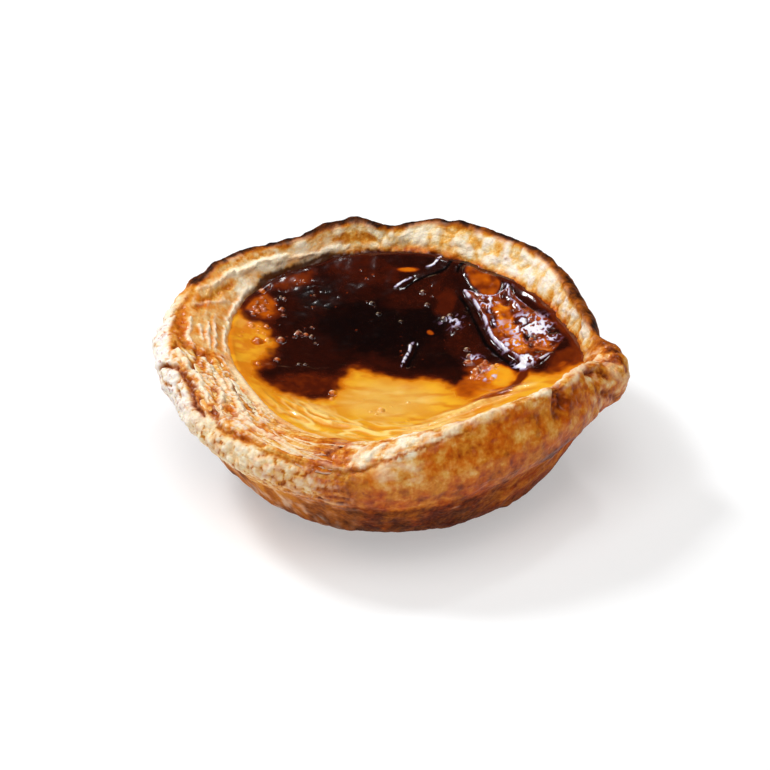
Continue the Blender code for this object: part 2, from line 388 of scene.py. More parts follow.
def shingles(level):  # overlapping sheets: a slow rise to a lip, then a drop
    share = level - np.floor(level)
    return ease(0, 0.8, share) * (1 - ease(0.84, 1.0, share)), share


def domes(points, size, seed, fill=0.6):  # scattered round blisters, 0 between them
    gap, _, number = nearestSeed(points, size, seed)
    return np.sqrt(np.clip(1 - (gap / fill) ** 2, 0, 1)) * (0.4 + 0.6 * (number % 5) / 4)


def skin(lift, toast, cream=0.0, gap=0.0, butter=0.0, calm=0.0, frost=0.0):
    # lift is in mm and toast goes from 0, pale dough, to 1, burnt
    # calm lessens the mottling, and the others say how much of a colour shows; the last one is a painted
    # whitish sheen, flecked with brown specks
    return {"lift": lift, "toast": toast, "cream": cream, "gap": gap,
            "butter": butter, "calm": calm, "frost": frost}


def wallSkin(at):  # the outside under the rim, darker towards the base, partly as painted shade
    lumps = noise(at.upright, 2.6, 61, 3)
    grain = noise(at.flow, 1.2, 66, 2)
    edges = noise(at.flow * [0.16, 0.16, 1], 1.3, 67, 3) * bell(at.distance, -3, 5)  # the baked layers' edges
    blisters = domes(at.flow * [1, 1, 0.8], 4.4, 68, 0.42)
    lift = 0.17 * lumps + 0.32 * noise(at.points, 7, 62, 2) + 0.07 * grain + 0.20 * edges + 0.20 * blisters
    lift = lift + 0.10 * domes(at.flow * [1, 1, 0.7], 2.2, 65)
    height = at.points[..., 2]
    toast = 0.55 + 0.11 * noise(at.points, 9, 71, 2) + 0.13 * noise(at.upright, 1.7, 72, 3)
    toast = toast - 0.10 * lumps - 0.05 * grain
    toast = toast - 0.12 * blisters - 0.10 * edges + 0.06 * arc(at.azimuth, 285, 345, 30)
    # darker towards the base: partly a deeper bake, partly painted shade of the lower wall
    toast = np.minimum(toast + 0.20 + 0.22 * (1 - ease(0, 14, height)), 0.86 - 0.06 * grain)
    # paler on the right under the roll, offsetting the shade its overhang casts: painted light
    toast = toast - 0.14 * arc(at.azimuth, 300, 345, 30) * ease(3, 9, height)
    paleSide = arc(at.azimuth, 196, 250, 30) * ease(-0.6, 0.2, noise(at.upright, 3.6, 83, 2))
    paleSide = paleSide * ease(-1, 6, height)
    toast = toast - 0.16 * arc(at.azimuth, 150, 240, 24) * ease(-9, -3, at.distance + 1.5 * lumps)
    toast = toast + 0.10 * arc(at.azimuth, 222, 300, 24) * ease(-6, -3, at.distance)
    cream = 0.6 * paleSide * ease(-0.1, 0.5, lumps) + 0.3 * ease(0.3, 0.6, edges)
    butter = ease(-0.1, 0.5, noise(at.points, 7, 81, 2) - 0.45 + 0.85 * arc(at.azimuth, 262, 346, 30))
    gap = 0.3 * ease(0.25, 0.6, -lumps)
    return skin(lift, toast - 0.22 * paleSide, cream, gap, butter * (1 - 0.7 * paleSide), calm=0.6)


def blisteredEdge(at):  # the pale outer strip of the flaky side, with a painted whitish sheen
    bumps = domes(at.flow, 1.35, 21) + 0.6 * domes(at.flow, 0.8, 24)
    fine = noise(at.flow, 0.8, 22, 2)
    lift = 0.26 * bumps + 0.20 * fine + 0.35 * noise(at.flow, 4.5, 25, 2)
    toast = 0.10 + 0.16 * noise(at.flow, 3, 23, 3) + 0.14 * (0.5 - bumps)
    toast = toast + 0.16 * arc(at.azimuth, 214, 262, 20)
    toast = toast + 0.22 * arc(at.azimuth, 236, 290, 20) * ease(2.5, -2, at.distance)
    specks = ease(0.12, 0.34, noise(at.flow, 0.9, 26, 2)) * ease(0.6, 0.2, bumps)
    cream = 0.8 * bumps * ease(-0.3, 0.3, fine) + 0.5 * arc(at.azimuth, 160, 212, 14)
    frost = 0.20 + 0.80 * arc(at.azimuth, 168, 208, 24)
    toast = toast - 0.04 + 0.34 * specks
    return skin(lift, toast, cream * (1 - 0.9 * specks), 0.25 * specks, 0.08, frost=frost)


def tornLayers(at):  # broken layers, in branching pale ridges round darker hollows; the hollows' darkness is partly painted shade, the ridges' pallor partly a painted highlight
    bent = at.flow * [0.30, 0.30, 1] + 0.5 * noise(at.flow, 2.4, 35, 2)[..., None]
    ridge = 1 - 2.3 * np.abs(noise(bent, 1.9, 31, 2))
    thread = 1 - 2.3 * np.abs(noise(bent * [1.6, 1.6, 1], 0.9, 32, 2))
    hollow = ease(0.35, -0.4, ridge)
    lift = 0.40 * ridge + 0.13 * thread - 0.46 * hollow
    toast = 0.40 + 0.32 * hollow - 0.08 * thread + 0.20 * noise(at.flow, 1.6, 33, 2)
    deep = hollow * ease(-0.3, 0.2, noise(at.flow, 3, 34))
    cream = 0.95 * ease(0.72, 1.0, 0.72 * ridge + 0.4 * thread)
    return skin(lift, toast, cream, 0.8 * deep, 0.4 * hollow + 0.6, frost=0.25 * cream)


def thinSheets(at):  # baked layers that run along the rim and meet at the cleft
    wander = 1.1 * noise(at.along, 3.0, 41, 2) + 0.25 * noise(at.flow, 2.4, 42, 2)
    drift = turnFrom(at.azimuth, 215) * 0.03
    sheet, share = shingles((at.distance + wander) / 1.35 + drift)
    fine, fineShare = shingles((at.distance + 0.7 * wander) / 0.55 - 1.4 * drift)
    strength = 0.6 + 0.5 * noise(at.along, 2.2, 43, 2)
    lift = 0.46 * sheet * strength + 0.12 * fine + 0.22 * noise(at.flow, 4.5, 44)
    toast = 0.33 + 0.20 * noise(at.along, 1.5, 45, 3) - 0.14 * (fineShare - 0.5)
    # darker at each sheet's foot, partly painted shadow under the lip of the sheet before it
    toast = toast + 0.24 * bell(share, 0.97, 0.16)
    cream = 0.8 * bell(share, 0.70, 0.13) * ease(-0.1, 0.4, noise(at.along, 1.4, 46, 2))
    gap = 0.55 * bell(share, 0.99, 0.10) * np.clip(strength, 0, 1)
    cleft = arc(at.azimuth, 247, 262, 7)
    butter = np.maximum(0.95 * cleft, 0.65 * ease(-0.3, 0.3, noise(at.along, 2.6, 47)))
    return skin(lift, toast + 0.24 * cleft, cream * (1 - 0.5 * cleft), gap, butter)


def innerBand(at):  # a smooth pale band where the flaky side meets the custard
    lift = 0.20 * bell(at.toCustard, 1.8, 1.2) + 0.12 * noise(at.along, 1.6, 51, 2)
    lines = ease(0.1, 0.5, noise(at.along, 0.9, 58, 2))
    toast = 0.26 + 0.20 * noise(at.along, 1.8, 52, 3)
    return skin(lift + 0.10 * lines, toast, 0.15 + 0.6 * lines, 0.0, 0.4, calm=0.5)


def clearSheets(at):  # smooth buttery sheets inside on the left
    wander = 0.9 * noise(at.along, 3.5, 53, 2)
    sheet, share = shingles((at.toCustard + wander) / 2.3)
    strength = ease(-0.2, 0.4, noise(at.flow, 3.5, 57))
    lift = 0.16 * sheet * strength + 0.18 * noise(at.flow, 5, 55)
    toast = 0.22 + 0.12 * noise(at.along, 3, 56, 2) + 0.10 * strength * bell(share, 0.98, 0.12)
    return skin(lift, toast, 0.5 * strength * bell(share, 0.72, 0.08), 0.0, 1.0, calm=0.85)


def backLeftInside(at):  # browned above and buttery below
    blotch = noise(at.flow * [0.45, 0.45, 1], 2.1, 94, 3)
    lift = 0.34 * blotch + 0.12 * noise(at.flow, 1.1, 93, 2) + 0.22 * noise(at.flow, 4, 92, 2)
    # the low base toast and the wide cream make this inner wall paler than its bake: painted light, lifting
    # the shade it lies in
    toast = 0.03 - 0.44 * blotch + 0.20 * ease(1.4, 0.4, at.toCustard) + 0.10 * ease(2.5, 0.5, at.fromCrest)
    cream = 0.9 * ease(-0.08, 0.32, blotch)
    golden = ease(4.4, 2.4, at.toCustard)
    butter = np.maximum(0.9 * golden, 0.20 + 0.6 * ease(0.1, -0.4, blotch))
    return skin(lift, toast, cream * (1 - 0.8 * golden), 0.0, butter, calm=0.5)


def backInside(at):  # cream coloured and crackled into small lumps, with a painted whitish sheen at the back right
    _, seam, _ = nearestSeed(at.flow * [1, 1, 0.55], 2.0, 95)
    lumps = noise(at.flow, 2.2, 96, 2)
    seams = bell(seam, 0, 0.16) * ease(-0.5, 0.2, noise(at.flow, 3, 99))
    blotch = noise(at.flow * [1, 1, 0.5], 2.4, 98, 3)
    lift = 0.34 * lumps - 0.26 * seams + 0.25 * noise(at.flow, 6, 97)
    toast = 0.14 + 0.34 * blotch - 0.10 * lumps + 0.16 * seams + 0.34 * ease(2.2, 0.5, at.toCustard)
    cream = 0.85 * ease(-0.2, 0.35, lumps - 0.6 * blotch) * ease(1.2, 2.6, at.toCustard)
    frost = 0.7 * cream * arc(at.azimuth, 8, 64, 24)
    return skin(lift, toast, cream, 0.12 * seams, 0.9 * ease(2.8, 0.8, at.toCustard), calm=0.2, frost=frost)


def rolledSkin(at):  # smooth and fat, baked gold with brown mottling
    lift = 0.34 * noise(at.flow, 5.5, 101, 2) + 0.18 * noise(at.flow * [0.7, 0.7, 1], 1.5, 102, 3)
    lift = lift + 0.14 * domes(at.flow, 1.7, 103)
    mottle = noise(at.flow * [0.8, 0.8, 1], 1.6, 104, 3)
    toast = 0.27 + 0.15 * noise(at.flow * [0.6, 0.6, 1], 3.5, 105, 2) + 0.30 * mottle
    toast = toast + 0.10 * arc(at.azimuth, 288, 350, 24) + 0.08 * arc(at.azimuth, 318, 346, 16)
    # the last term darkens the roll down its outer face towards the wall: painted shade
    toast = toast + 0.12 * bell(at.distance, 6.5, 2.5) + 0.30 * ease(4.5, -1.5, at.distance)
    pale = ease(0.15, 0.5, noise(at.flow, 1.0, 106, 2) - 0.05)
    toast = 0.25 + np.log1p(np.exp(8 * (toast - 0.25))) / 8  # never paler than gold
    return skin(lift, toast - 0.06 * pale, 0.0, 0.35 * ease(0.2, 0.5, mottle), 0.85, calm=0.55)


def pinchedTip(at):  # the blunt corner where the rim is pinched, mottled dark
    lift = 0.50 * noise(at.flow * [1, 1, 0.7], 3.0, 111, 2) + 0.22 * noise(at.flow, 1.2, 112, 2)
    mottle = noise(at.flow * [1, 1, 0.7], 1.5, 113, 3)
    toast = 0.50 + 0.58 * mottle - 0.14 * ease(4, 8, at.distance) - 0.14 * lift
    cream = 0.8 * ease(0.0, 0.4, -mottle) * (0.25 + 0.75 * ease(5.5, 8, at.distance))
    return skin(lift, toast, cream, 0.5 * ease(0.25, 0.6, mottle), 0.7)


def tornCrest(at):  # the white ragged layers along the rolled side's crest
    torn = noise(at.along * [1.8, 1.8, 1], 1.3, 121, 3)
    fine = noise(at.flow, 0.8, 122, 2)
    lift = 0.16 + 0.26 * torn + 0.12 * fine
    toast = 0.30 - 0.26 * torn + 0.10 * fine
    return skin(lift, toast, 0.8 * ease(-0.2, 0.3, torn), 0.3 * ease(0.15, 0.5, -torn), 0.6)


def layDown(result, layer, share):  # one skin over another
    return {part: mixed(result[part], layer[part], share) for part in result}


def markedSkin(at, result):  # the single ridges and furrows, one after the other
    azimuth = turnFrom(at.azimuth, 220) + 220
    jitter = [0.7 * noise(at.flow, 2.0, seed, 3, 0.7) for seed in (131, 132)]
    tear = 0.55 + 0.45 * ease(-0.3, 0.2, noise(at.flow, 1.1, 136, 2))
    broken = 0.3 + 0.7 * ease(-0.45, 0.15, noise(at.flow, 1.3, 135, 2))
    x, y = perDegree * azimuth + jitter[0], at.distance + jitter[1]
    for path, width, lift, toast, cream, gap in pastry["marks"]:
        course = smoothPath([(perDegree * place, distance) for place, distance in path], 4)
        near = np.abs(x[:, 0] - course[:, 0].mean()) < np.ptp(course[:, 0]) / 2 + 6
        away, share, _ = gapToPath(x[near], y[near], course)
        taper = ease(-0.05, 0.2, share) * ease(1.05, 0.8, share)
        form = np.exp(-((away / (width * (0.5 + 0.5 * taper))) ** 2)) * ease(0, 0.3, taper)
        form = form * (broken if cream > 0.5 else tear)[near]
        result["lift"][near] += lift * form
        cover = np.clip(1.25 * form, 0, 1)
        for part, value in (("toast", toast), ("cream", cream), ("gap", gap), ("frost", 0)):
            result[part][near] = mixed(result[part][near], value, cover * (0.9 if part == "toast" else 1))


def laidSkins(at):  # each skin over the one before, from the wall to the torn crest
    crestFrom = np.interp(at.azimuth, *pastry["crestFrom"])
    torn = ease(-0.5, 0.7, at.distance - crestFrom + 1.3 * at.ragged)
    torn = torn * (0.5 * arc(at.azimuth, 255, 290, 10) + 0.4 * arc(at.azimuth, 255, 342, 10))
    torn = torn + 0.75 * arc(at.azimuth, 304, 342, 8) * ease(-1.7, -0.7, at.fromCrest + 0.7 * at.ragged)
    torn = torn + 0.5 * arc(at.azimuth, 266, 277, 4) * ease(1.5, 3.5, at.distance + at.ragged)
    strip = ease(-5.5, -0.5, at.distance + 1.8 * at.ragged) * arc(at.azimuth + 9 * at.ragged, 158, 252, 26)
    clear = arc(at.azimuth, 146, 180, 8) * ease(3.5, 5.5, at.distance + at.ragged)
    band = arc(at.azimuth, 180, 246, 12) * ease(3.6, 2.4, at.toCustard + 0.5 * at.ragged)
    layers = [
        # what lies there, and how much of it shows
        (rolledSkin(at), at.rim * arc(at.azimuth, *pastry["rolledSide"], 6)),
        (backInside(at), arc(at.azimuth, 0, 112, 16) * ease(0.2, 1.8, at.fromCrest)),
        (backLeftInside(at), arc(at.azimuth, 108, 154, 14) * ease(0.0, 1.6, at.fromCrest)),
        (tornLayers(at), at.flaky * arc(at.azimuth, 178, 238, 12)),
        (thinSheets(at), at.flaky * arc(at.azimuth, 230, 262, 14)),
        (clearSheets(at), at.rim * clear),
        (innerBand(at), at.flaky * band),
        (blisteredEdge(at), strip * ease(4.2, 3.2, at.distance + 0.6 * at.ragged)),
        (pinchedTip(at), at.rim * arc(at.azimuth, 334, 358, 10)),
        (tornCrest(at), torn * at.rim),
    ]
    result = wallSkin(at)
    for layer, share in layers:
        result = layDown(result, layer, share)
    return result


def bakeCrest(at, result):  # the crest bakes darkest, with a few burnt places at the back
    bare = 1 - arc(at.azimuth, 150, 336, 10)
    topLine = bell(at.fromCrest, -0.7, 1.2)
    darker = 0.14 + 0.14 * arc(at.azimuth, 50, 160, 30)
    result["toast"] = result["toast"] + topLine * bare * (darker + 0.26 * noise(at.flow, 2.6, 151, 2))
    result["lift"] = result["lift"] + topLine * bare * (0.15 + 0.40 * noise(at.flow, 2.4, 152, 2))
    for middle, spread, strength in pastry["charred"]:
        burnt = bell(turnFrom(at.azimuth, middle), 0, spread) * bell(at.fromCrest, -0.5, 1.25)
        burnt = burnt * ease(-0.6, 0.2, noise(at.flow, 1.8, 153, 2) + 0.4 * burnt)
        result["toast"] = mixed(result["toast"], 0.94, np.minimum(1, 1.7 * strength * burnt))
        result["cream"] = result["cream"] * (1 - np.minimum(1, 1.4 * burnt))


def bulged(at, lift):  # the roll bulges over the wall, and the pinched tip is a blunt knob
    roll = arc(at.azimuth, 262, 345, 16)
    under = arc(at.azimuth, 300, 352, 30)
    lift = lift + 0.9 * roll * bell(at.distance, 2.6, 3.4) - 0.50 * under * bell(at.distance, -3.6, 2.0)
    fromTip = turnFrom(at.azimuth, pastry["tip"])
    knob = bell(fromTip, 1, 8)
    lift = lift + knob * (1.1 * bell(at.distance, 3.6, 2.0) + 0.7 * bell(at.distance, -2.6, 2.6))
    lift = lift - 0.9 * bell(fromTip, 15, 5) * bell(at.distance, 1.0, 4.0)
    edge = arc(at.azimuth, 140, 262, 16) * bell(at.distance, 0.4, 2.6)
    waves = 0.65 * noise(at.flow * [1, 1, 0.5], 5, 154, 2) + 0.45 * noise(at.flow, 2.2, 155, 2)
    lift = lift + edge * waves
    calm = ease(0.0, 1.0, at.toCustard)  # nothing stands up where the custard begins
    return lift * (0.25 + 0.75 * calm) * ease(0.4, 2.2, at.points[..., 2])


def pastrySurface():
    at = plainCase()
    at.ragged = 0.8 * noise(at.flow, 3, 133, 2) + 0.4 * noise(at.flow, 1.1, 134, 2)
    at.rim = ease(-5.0, -2.4, at.distance + 1.4 * at.ragged)
    at.flaky = at.rim * arc(at.azimuth, *pastry["flakySide"], 8)
    result = laidSkins(at)
    bakeCrest(at, result)
    markedSkin(at, result)
    lift = bulged(at, result["lift"])

    stained = ease(2.2, 0.4, at.toCustard + 0.8 * at.ragged) * (1 - 0.7 * at.flaky)
    reach = 0.9 + 1.1 * arc(at.azimuth, 106, 144, 24)  # how far the syrup has run up the pastry
    syrup = ease(0.4, -0.4, at.toCustard + 0.9 * at.ragged - reach) * arc(at.azimuth, 40, 144, 20)
    masks = {
        "toast": result["toast"],
        "gap": np.clip(result["gap"], 0, 1),
        "cream": np.clip(result["cream"], 0, 1),
        "butter": np.clip(np.maximum(result["butter"], stained), 0, 1),
        "glaze": np.clip(result["butter"], 0, 1) * ease(-4.0, -0.5, at.distance),
        "calm": result["calm"],
        "frost": np.clip(result["frost"], 0, 1) * ease(0.5, 0.3, result["toast"]),
        "syrup": syrup,
        "flow": at.flow,
    }
    return at.points + faceOut(at.points) * lift[..., None], masks


def closeRings(points, masks):
    # rings of points, then the faces that join them, shut by a fan at each end
    count, rows = points.shape[:2]
    ring = np.arange(count)
    nextRing = np.roll(ring, -1)
    faces = []
    for row in range(rows - 1):
        low, high = row * count, (row + 1) * count
        faces.append(np.stack([low + ring, low + nextRing, high + nextRing, high + ring], axis=1))
    flat = points.transpose(1, 0, 2).reshape(-1, 3)
    flat = np.concatenate([flat, [points[:, 0].mean(axis=0), points[:, -1].mean(axis=0)]])
    under, over, last = len(flat) - 2, len(flat) - 1, (rows - 1) * count
    fans = [(int(b), int(a), under) for a, b in zip(ring, nextRing)]
    fans += [(int(last + a), int(last + b), over) for a, b in zip(ring, nextRing)]
    flatMasks = {}
    for name, values in masks.items():
        turned = values.swapaxes(0, 1).reshape(rows * count, *values.shape[2:])
        flatMasks[name] = np.concatenate([turned, [values[:, 0].mean(axis=0), values[:, -1].mean(axis=0)]])
    return flat, np.concatenate(faces).tolist() + fans, flatMasks


def makeCase(finish):
    points, masks = pastrySurface()
    under = points[:, :1] * [pastry["baseRing"], pastry["baseRing"], 0]
    inside = [points[:, -1] - [0, 0, pastry["foldedIn"]]]
    for radius, height in pastry["hiddenRings"]:
        inside.append(points[:, -1] * [radius, radius, 0] + [0, 0, height])
    points = np.concatenate([under, points, np.stack(inside, axis=1)], axis=1)
    for name, values in masks.items():
        after = np.repeat(values[:, -1:], len(inside), axis=1)
        masks[name] = np.concatenate([values[:, :1], values, after], axis=1)
    points, faces, masks = closeRings(points, masks)
    return meshPiece("pastryCase", points, faces, finish, masks)


def onCase(at, normals, azimuth, distance):  # the place and the facing of the case's skin at given places
    columns = np.append(at.azimuth[:, 0], 360.0)
    place = np.interp(azimuth % 360, columns, np.arange(len(columns)))
    first = np.floor(place).astype(int)
    share = (place - first)[..., None]
    found = []
    for column in (first % len(at.azimuth), (first + 1) % len(at.azimuth)):
        rows = np.array([np.interp(d, at.distance[c], np.arange(at.distance.shape[1]))
                         for d, c in zip(distance.ravel(), column.ravel())]).reshape(distance.shape)
        low = np.clip(np.floor(rows).astype(int), 0, at.distance.shape[1] - 2)
        part = (rows - low)[..., None]
        found.append([mixed(grid[column, low], grid[column, low + 1], part) for grid in (at.points, normals)])
    point, normal = (mixed(one, other, share) for one, other in zip(*found))
    return point, normal


flakes = {
    "thickness": 0.15,
    "steps": (26, 7),  # points along and across a flake
    # start azimuth, start distance, end azimuth, end distance, spread in distance, how many,
    # share of the way that one flake covers, width, how far its edge stands up, toast
    "groups": [
        (226, 10.5, 256, 4.8, 1.0, 9, (0.35, 0.8), (1.2, 2.4), (0.04, 0.16), 0.36),
        (224, 7.6, 256, 4.2, 0.8, 8, (0.3, 0.7), (1.0, 2.2), (0.04, 0.16), 0.40),
        (228, 12.6, 258, 8.0, 0.9, 8, (0.4, 0.8), (1.3, 2.6), (0.04, 0.14), 0.30),
        (186, 6.6, 226, 6.0, 1.1, 9, (0.14, 0.30), (0.9, 1.8), (0.10, 0.32), 0.30),
        (188, 10.4, 228, 9.6, 1.6, 12, (0.10, 0.26), (0.8, 1.7), (0.12, 0.40), 0.28),
        (182, 13.6, 250, 12.0, 0.5, 5, (0.25, 0.45), (1.2, 2.0), (0.08, 0.22), 0.20),
    ],
}


def oneFlake(at, normals, pick, group):
    startAzimuth, startDistance, endAzimuth, endDistance, spread, _, covers, widths, lifts, toast = group
    long, wide = flakes["steps"]
    cover, width, lift = (pick.uniform(*limits) for limits in (covers, widths, lifts))
    begin = pick.uniform(0, 1 - cover)
    offset, slant, seed = pick.normal(0, spread), pick.normal(0, 0.5), int(pick.integers(1000, 9000))
    t = np.linspace(0, 1, long)[:, None]
    v = np.linspace(0, 1, wide)[None, :]
    course = begin + cover * t
    azimuth = mixed(startAzimuth, endAzimuth, course) + 0 * v
    middle = mixed(startDistance, endDistance, course) + offset + slant * (t - 0.5)
    ragged = noise(np.stack([t * 6, 0 * t], axis=-1), 1.0, seed, 2)
    reach = width * (t * (1 - t) * 4) ** 0.4 * (1 + 0.45 * ragged)
    distance = middle + reach * (0.5 - v) + 0.25 * ragged
    point, normal = onCase(at, normals, azimuth, distance)
    wave = noise(np.stack([t * 5 + 0 * v, v * 1.5 + 0 * t], axis=-1), 1.0, seed + 1, 2)
    rise = lift * (0.2 + 1.0 * v**1.6 * (0.75 + 0.6 * wave)) * (t * (1 - t) * 4) ** 0.3
    cleft = arc(azimuth, 246, 262, 7)
    upper = point + normal * (rise * (1 - 0.7 * cleft))[..., None]
    lower = upper - normal * flakes["thickness"] * ((1 - 0.6 * v) * (1 - 0.5 * cleft))[..., None]
    tone = toast + 0.14 * wave - 0.10 * v + pick.normal(0, 0.06) + 0.16 * cleft
    flow = np.stack([azimuth * perDegree, distance, 0 * distance + seed], axis=-1)
    masks = {name: 0 * tone for name in ("gap", "glaze", "calm", "frost", "syrup")}
    masks["toast"] = tone
    masks["cream"] = 0.7 * bell(v, 1.0, 0.22) + 0 * t
    masks["butter"] = np.maximum(0.5 * (pick.random() < 0.5), 0.9 * cleft)
    masks["flow"] = flow
    return upper, lower, masks


def makeFlakes(finish):  # loose thin sheets that overlap on the flaky side
    at = plainCase()
    normals = faceOut(at.points)
    pick = np.random.default_rng(31)
    long, wide = flakes["steps"]
    index = np.arange(long * wide).reshape(long, wide)
    quads = np.stack([index[:-1, :-1], index[1:, :-1], index[1:, 1:], index[:-1, 1:]], axis=-1).reshape(-1, 4)
    border = np.concatenate([index[:-1, 0], index[-1, :-1], index[:0:-1, -1], index[0, :0:-1]])
    nextOne = np.roll(border, -1)
    sides = np.stack([nextOne, border, border + index.size, nextOne + index.size], axis=1)
    shell = np.concatenate([quads, quads[:, ::-1] + index.size, sides])
    points, faces, masks = [], [], {}
    for group in flakes["groups"]:
        for _ in range(group[5]):
            upper, lower, skinMasks = oneFlake(at, normals, pick, group)
            faces.append(shell + len(points) * 2 * index.size)
            points.append(np.concatenate([upper.reshape(-1, 3), lower.reshape(-1, 3)]))
            for name, values in skinMasks.items():
                rows = values.reshape(index.size, *values.shape[2:])
                masks.setdefault(name, []).append(np.concatenate([rows, rows]))
    masks = {name: np.concatenate(values) for name, values in masks.items()}
    return meshPiece("looseFlakes", np.concatenate(points), np.concatenate(faces).tolist(), finish, masks)


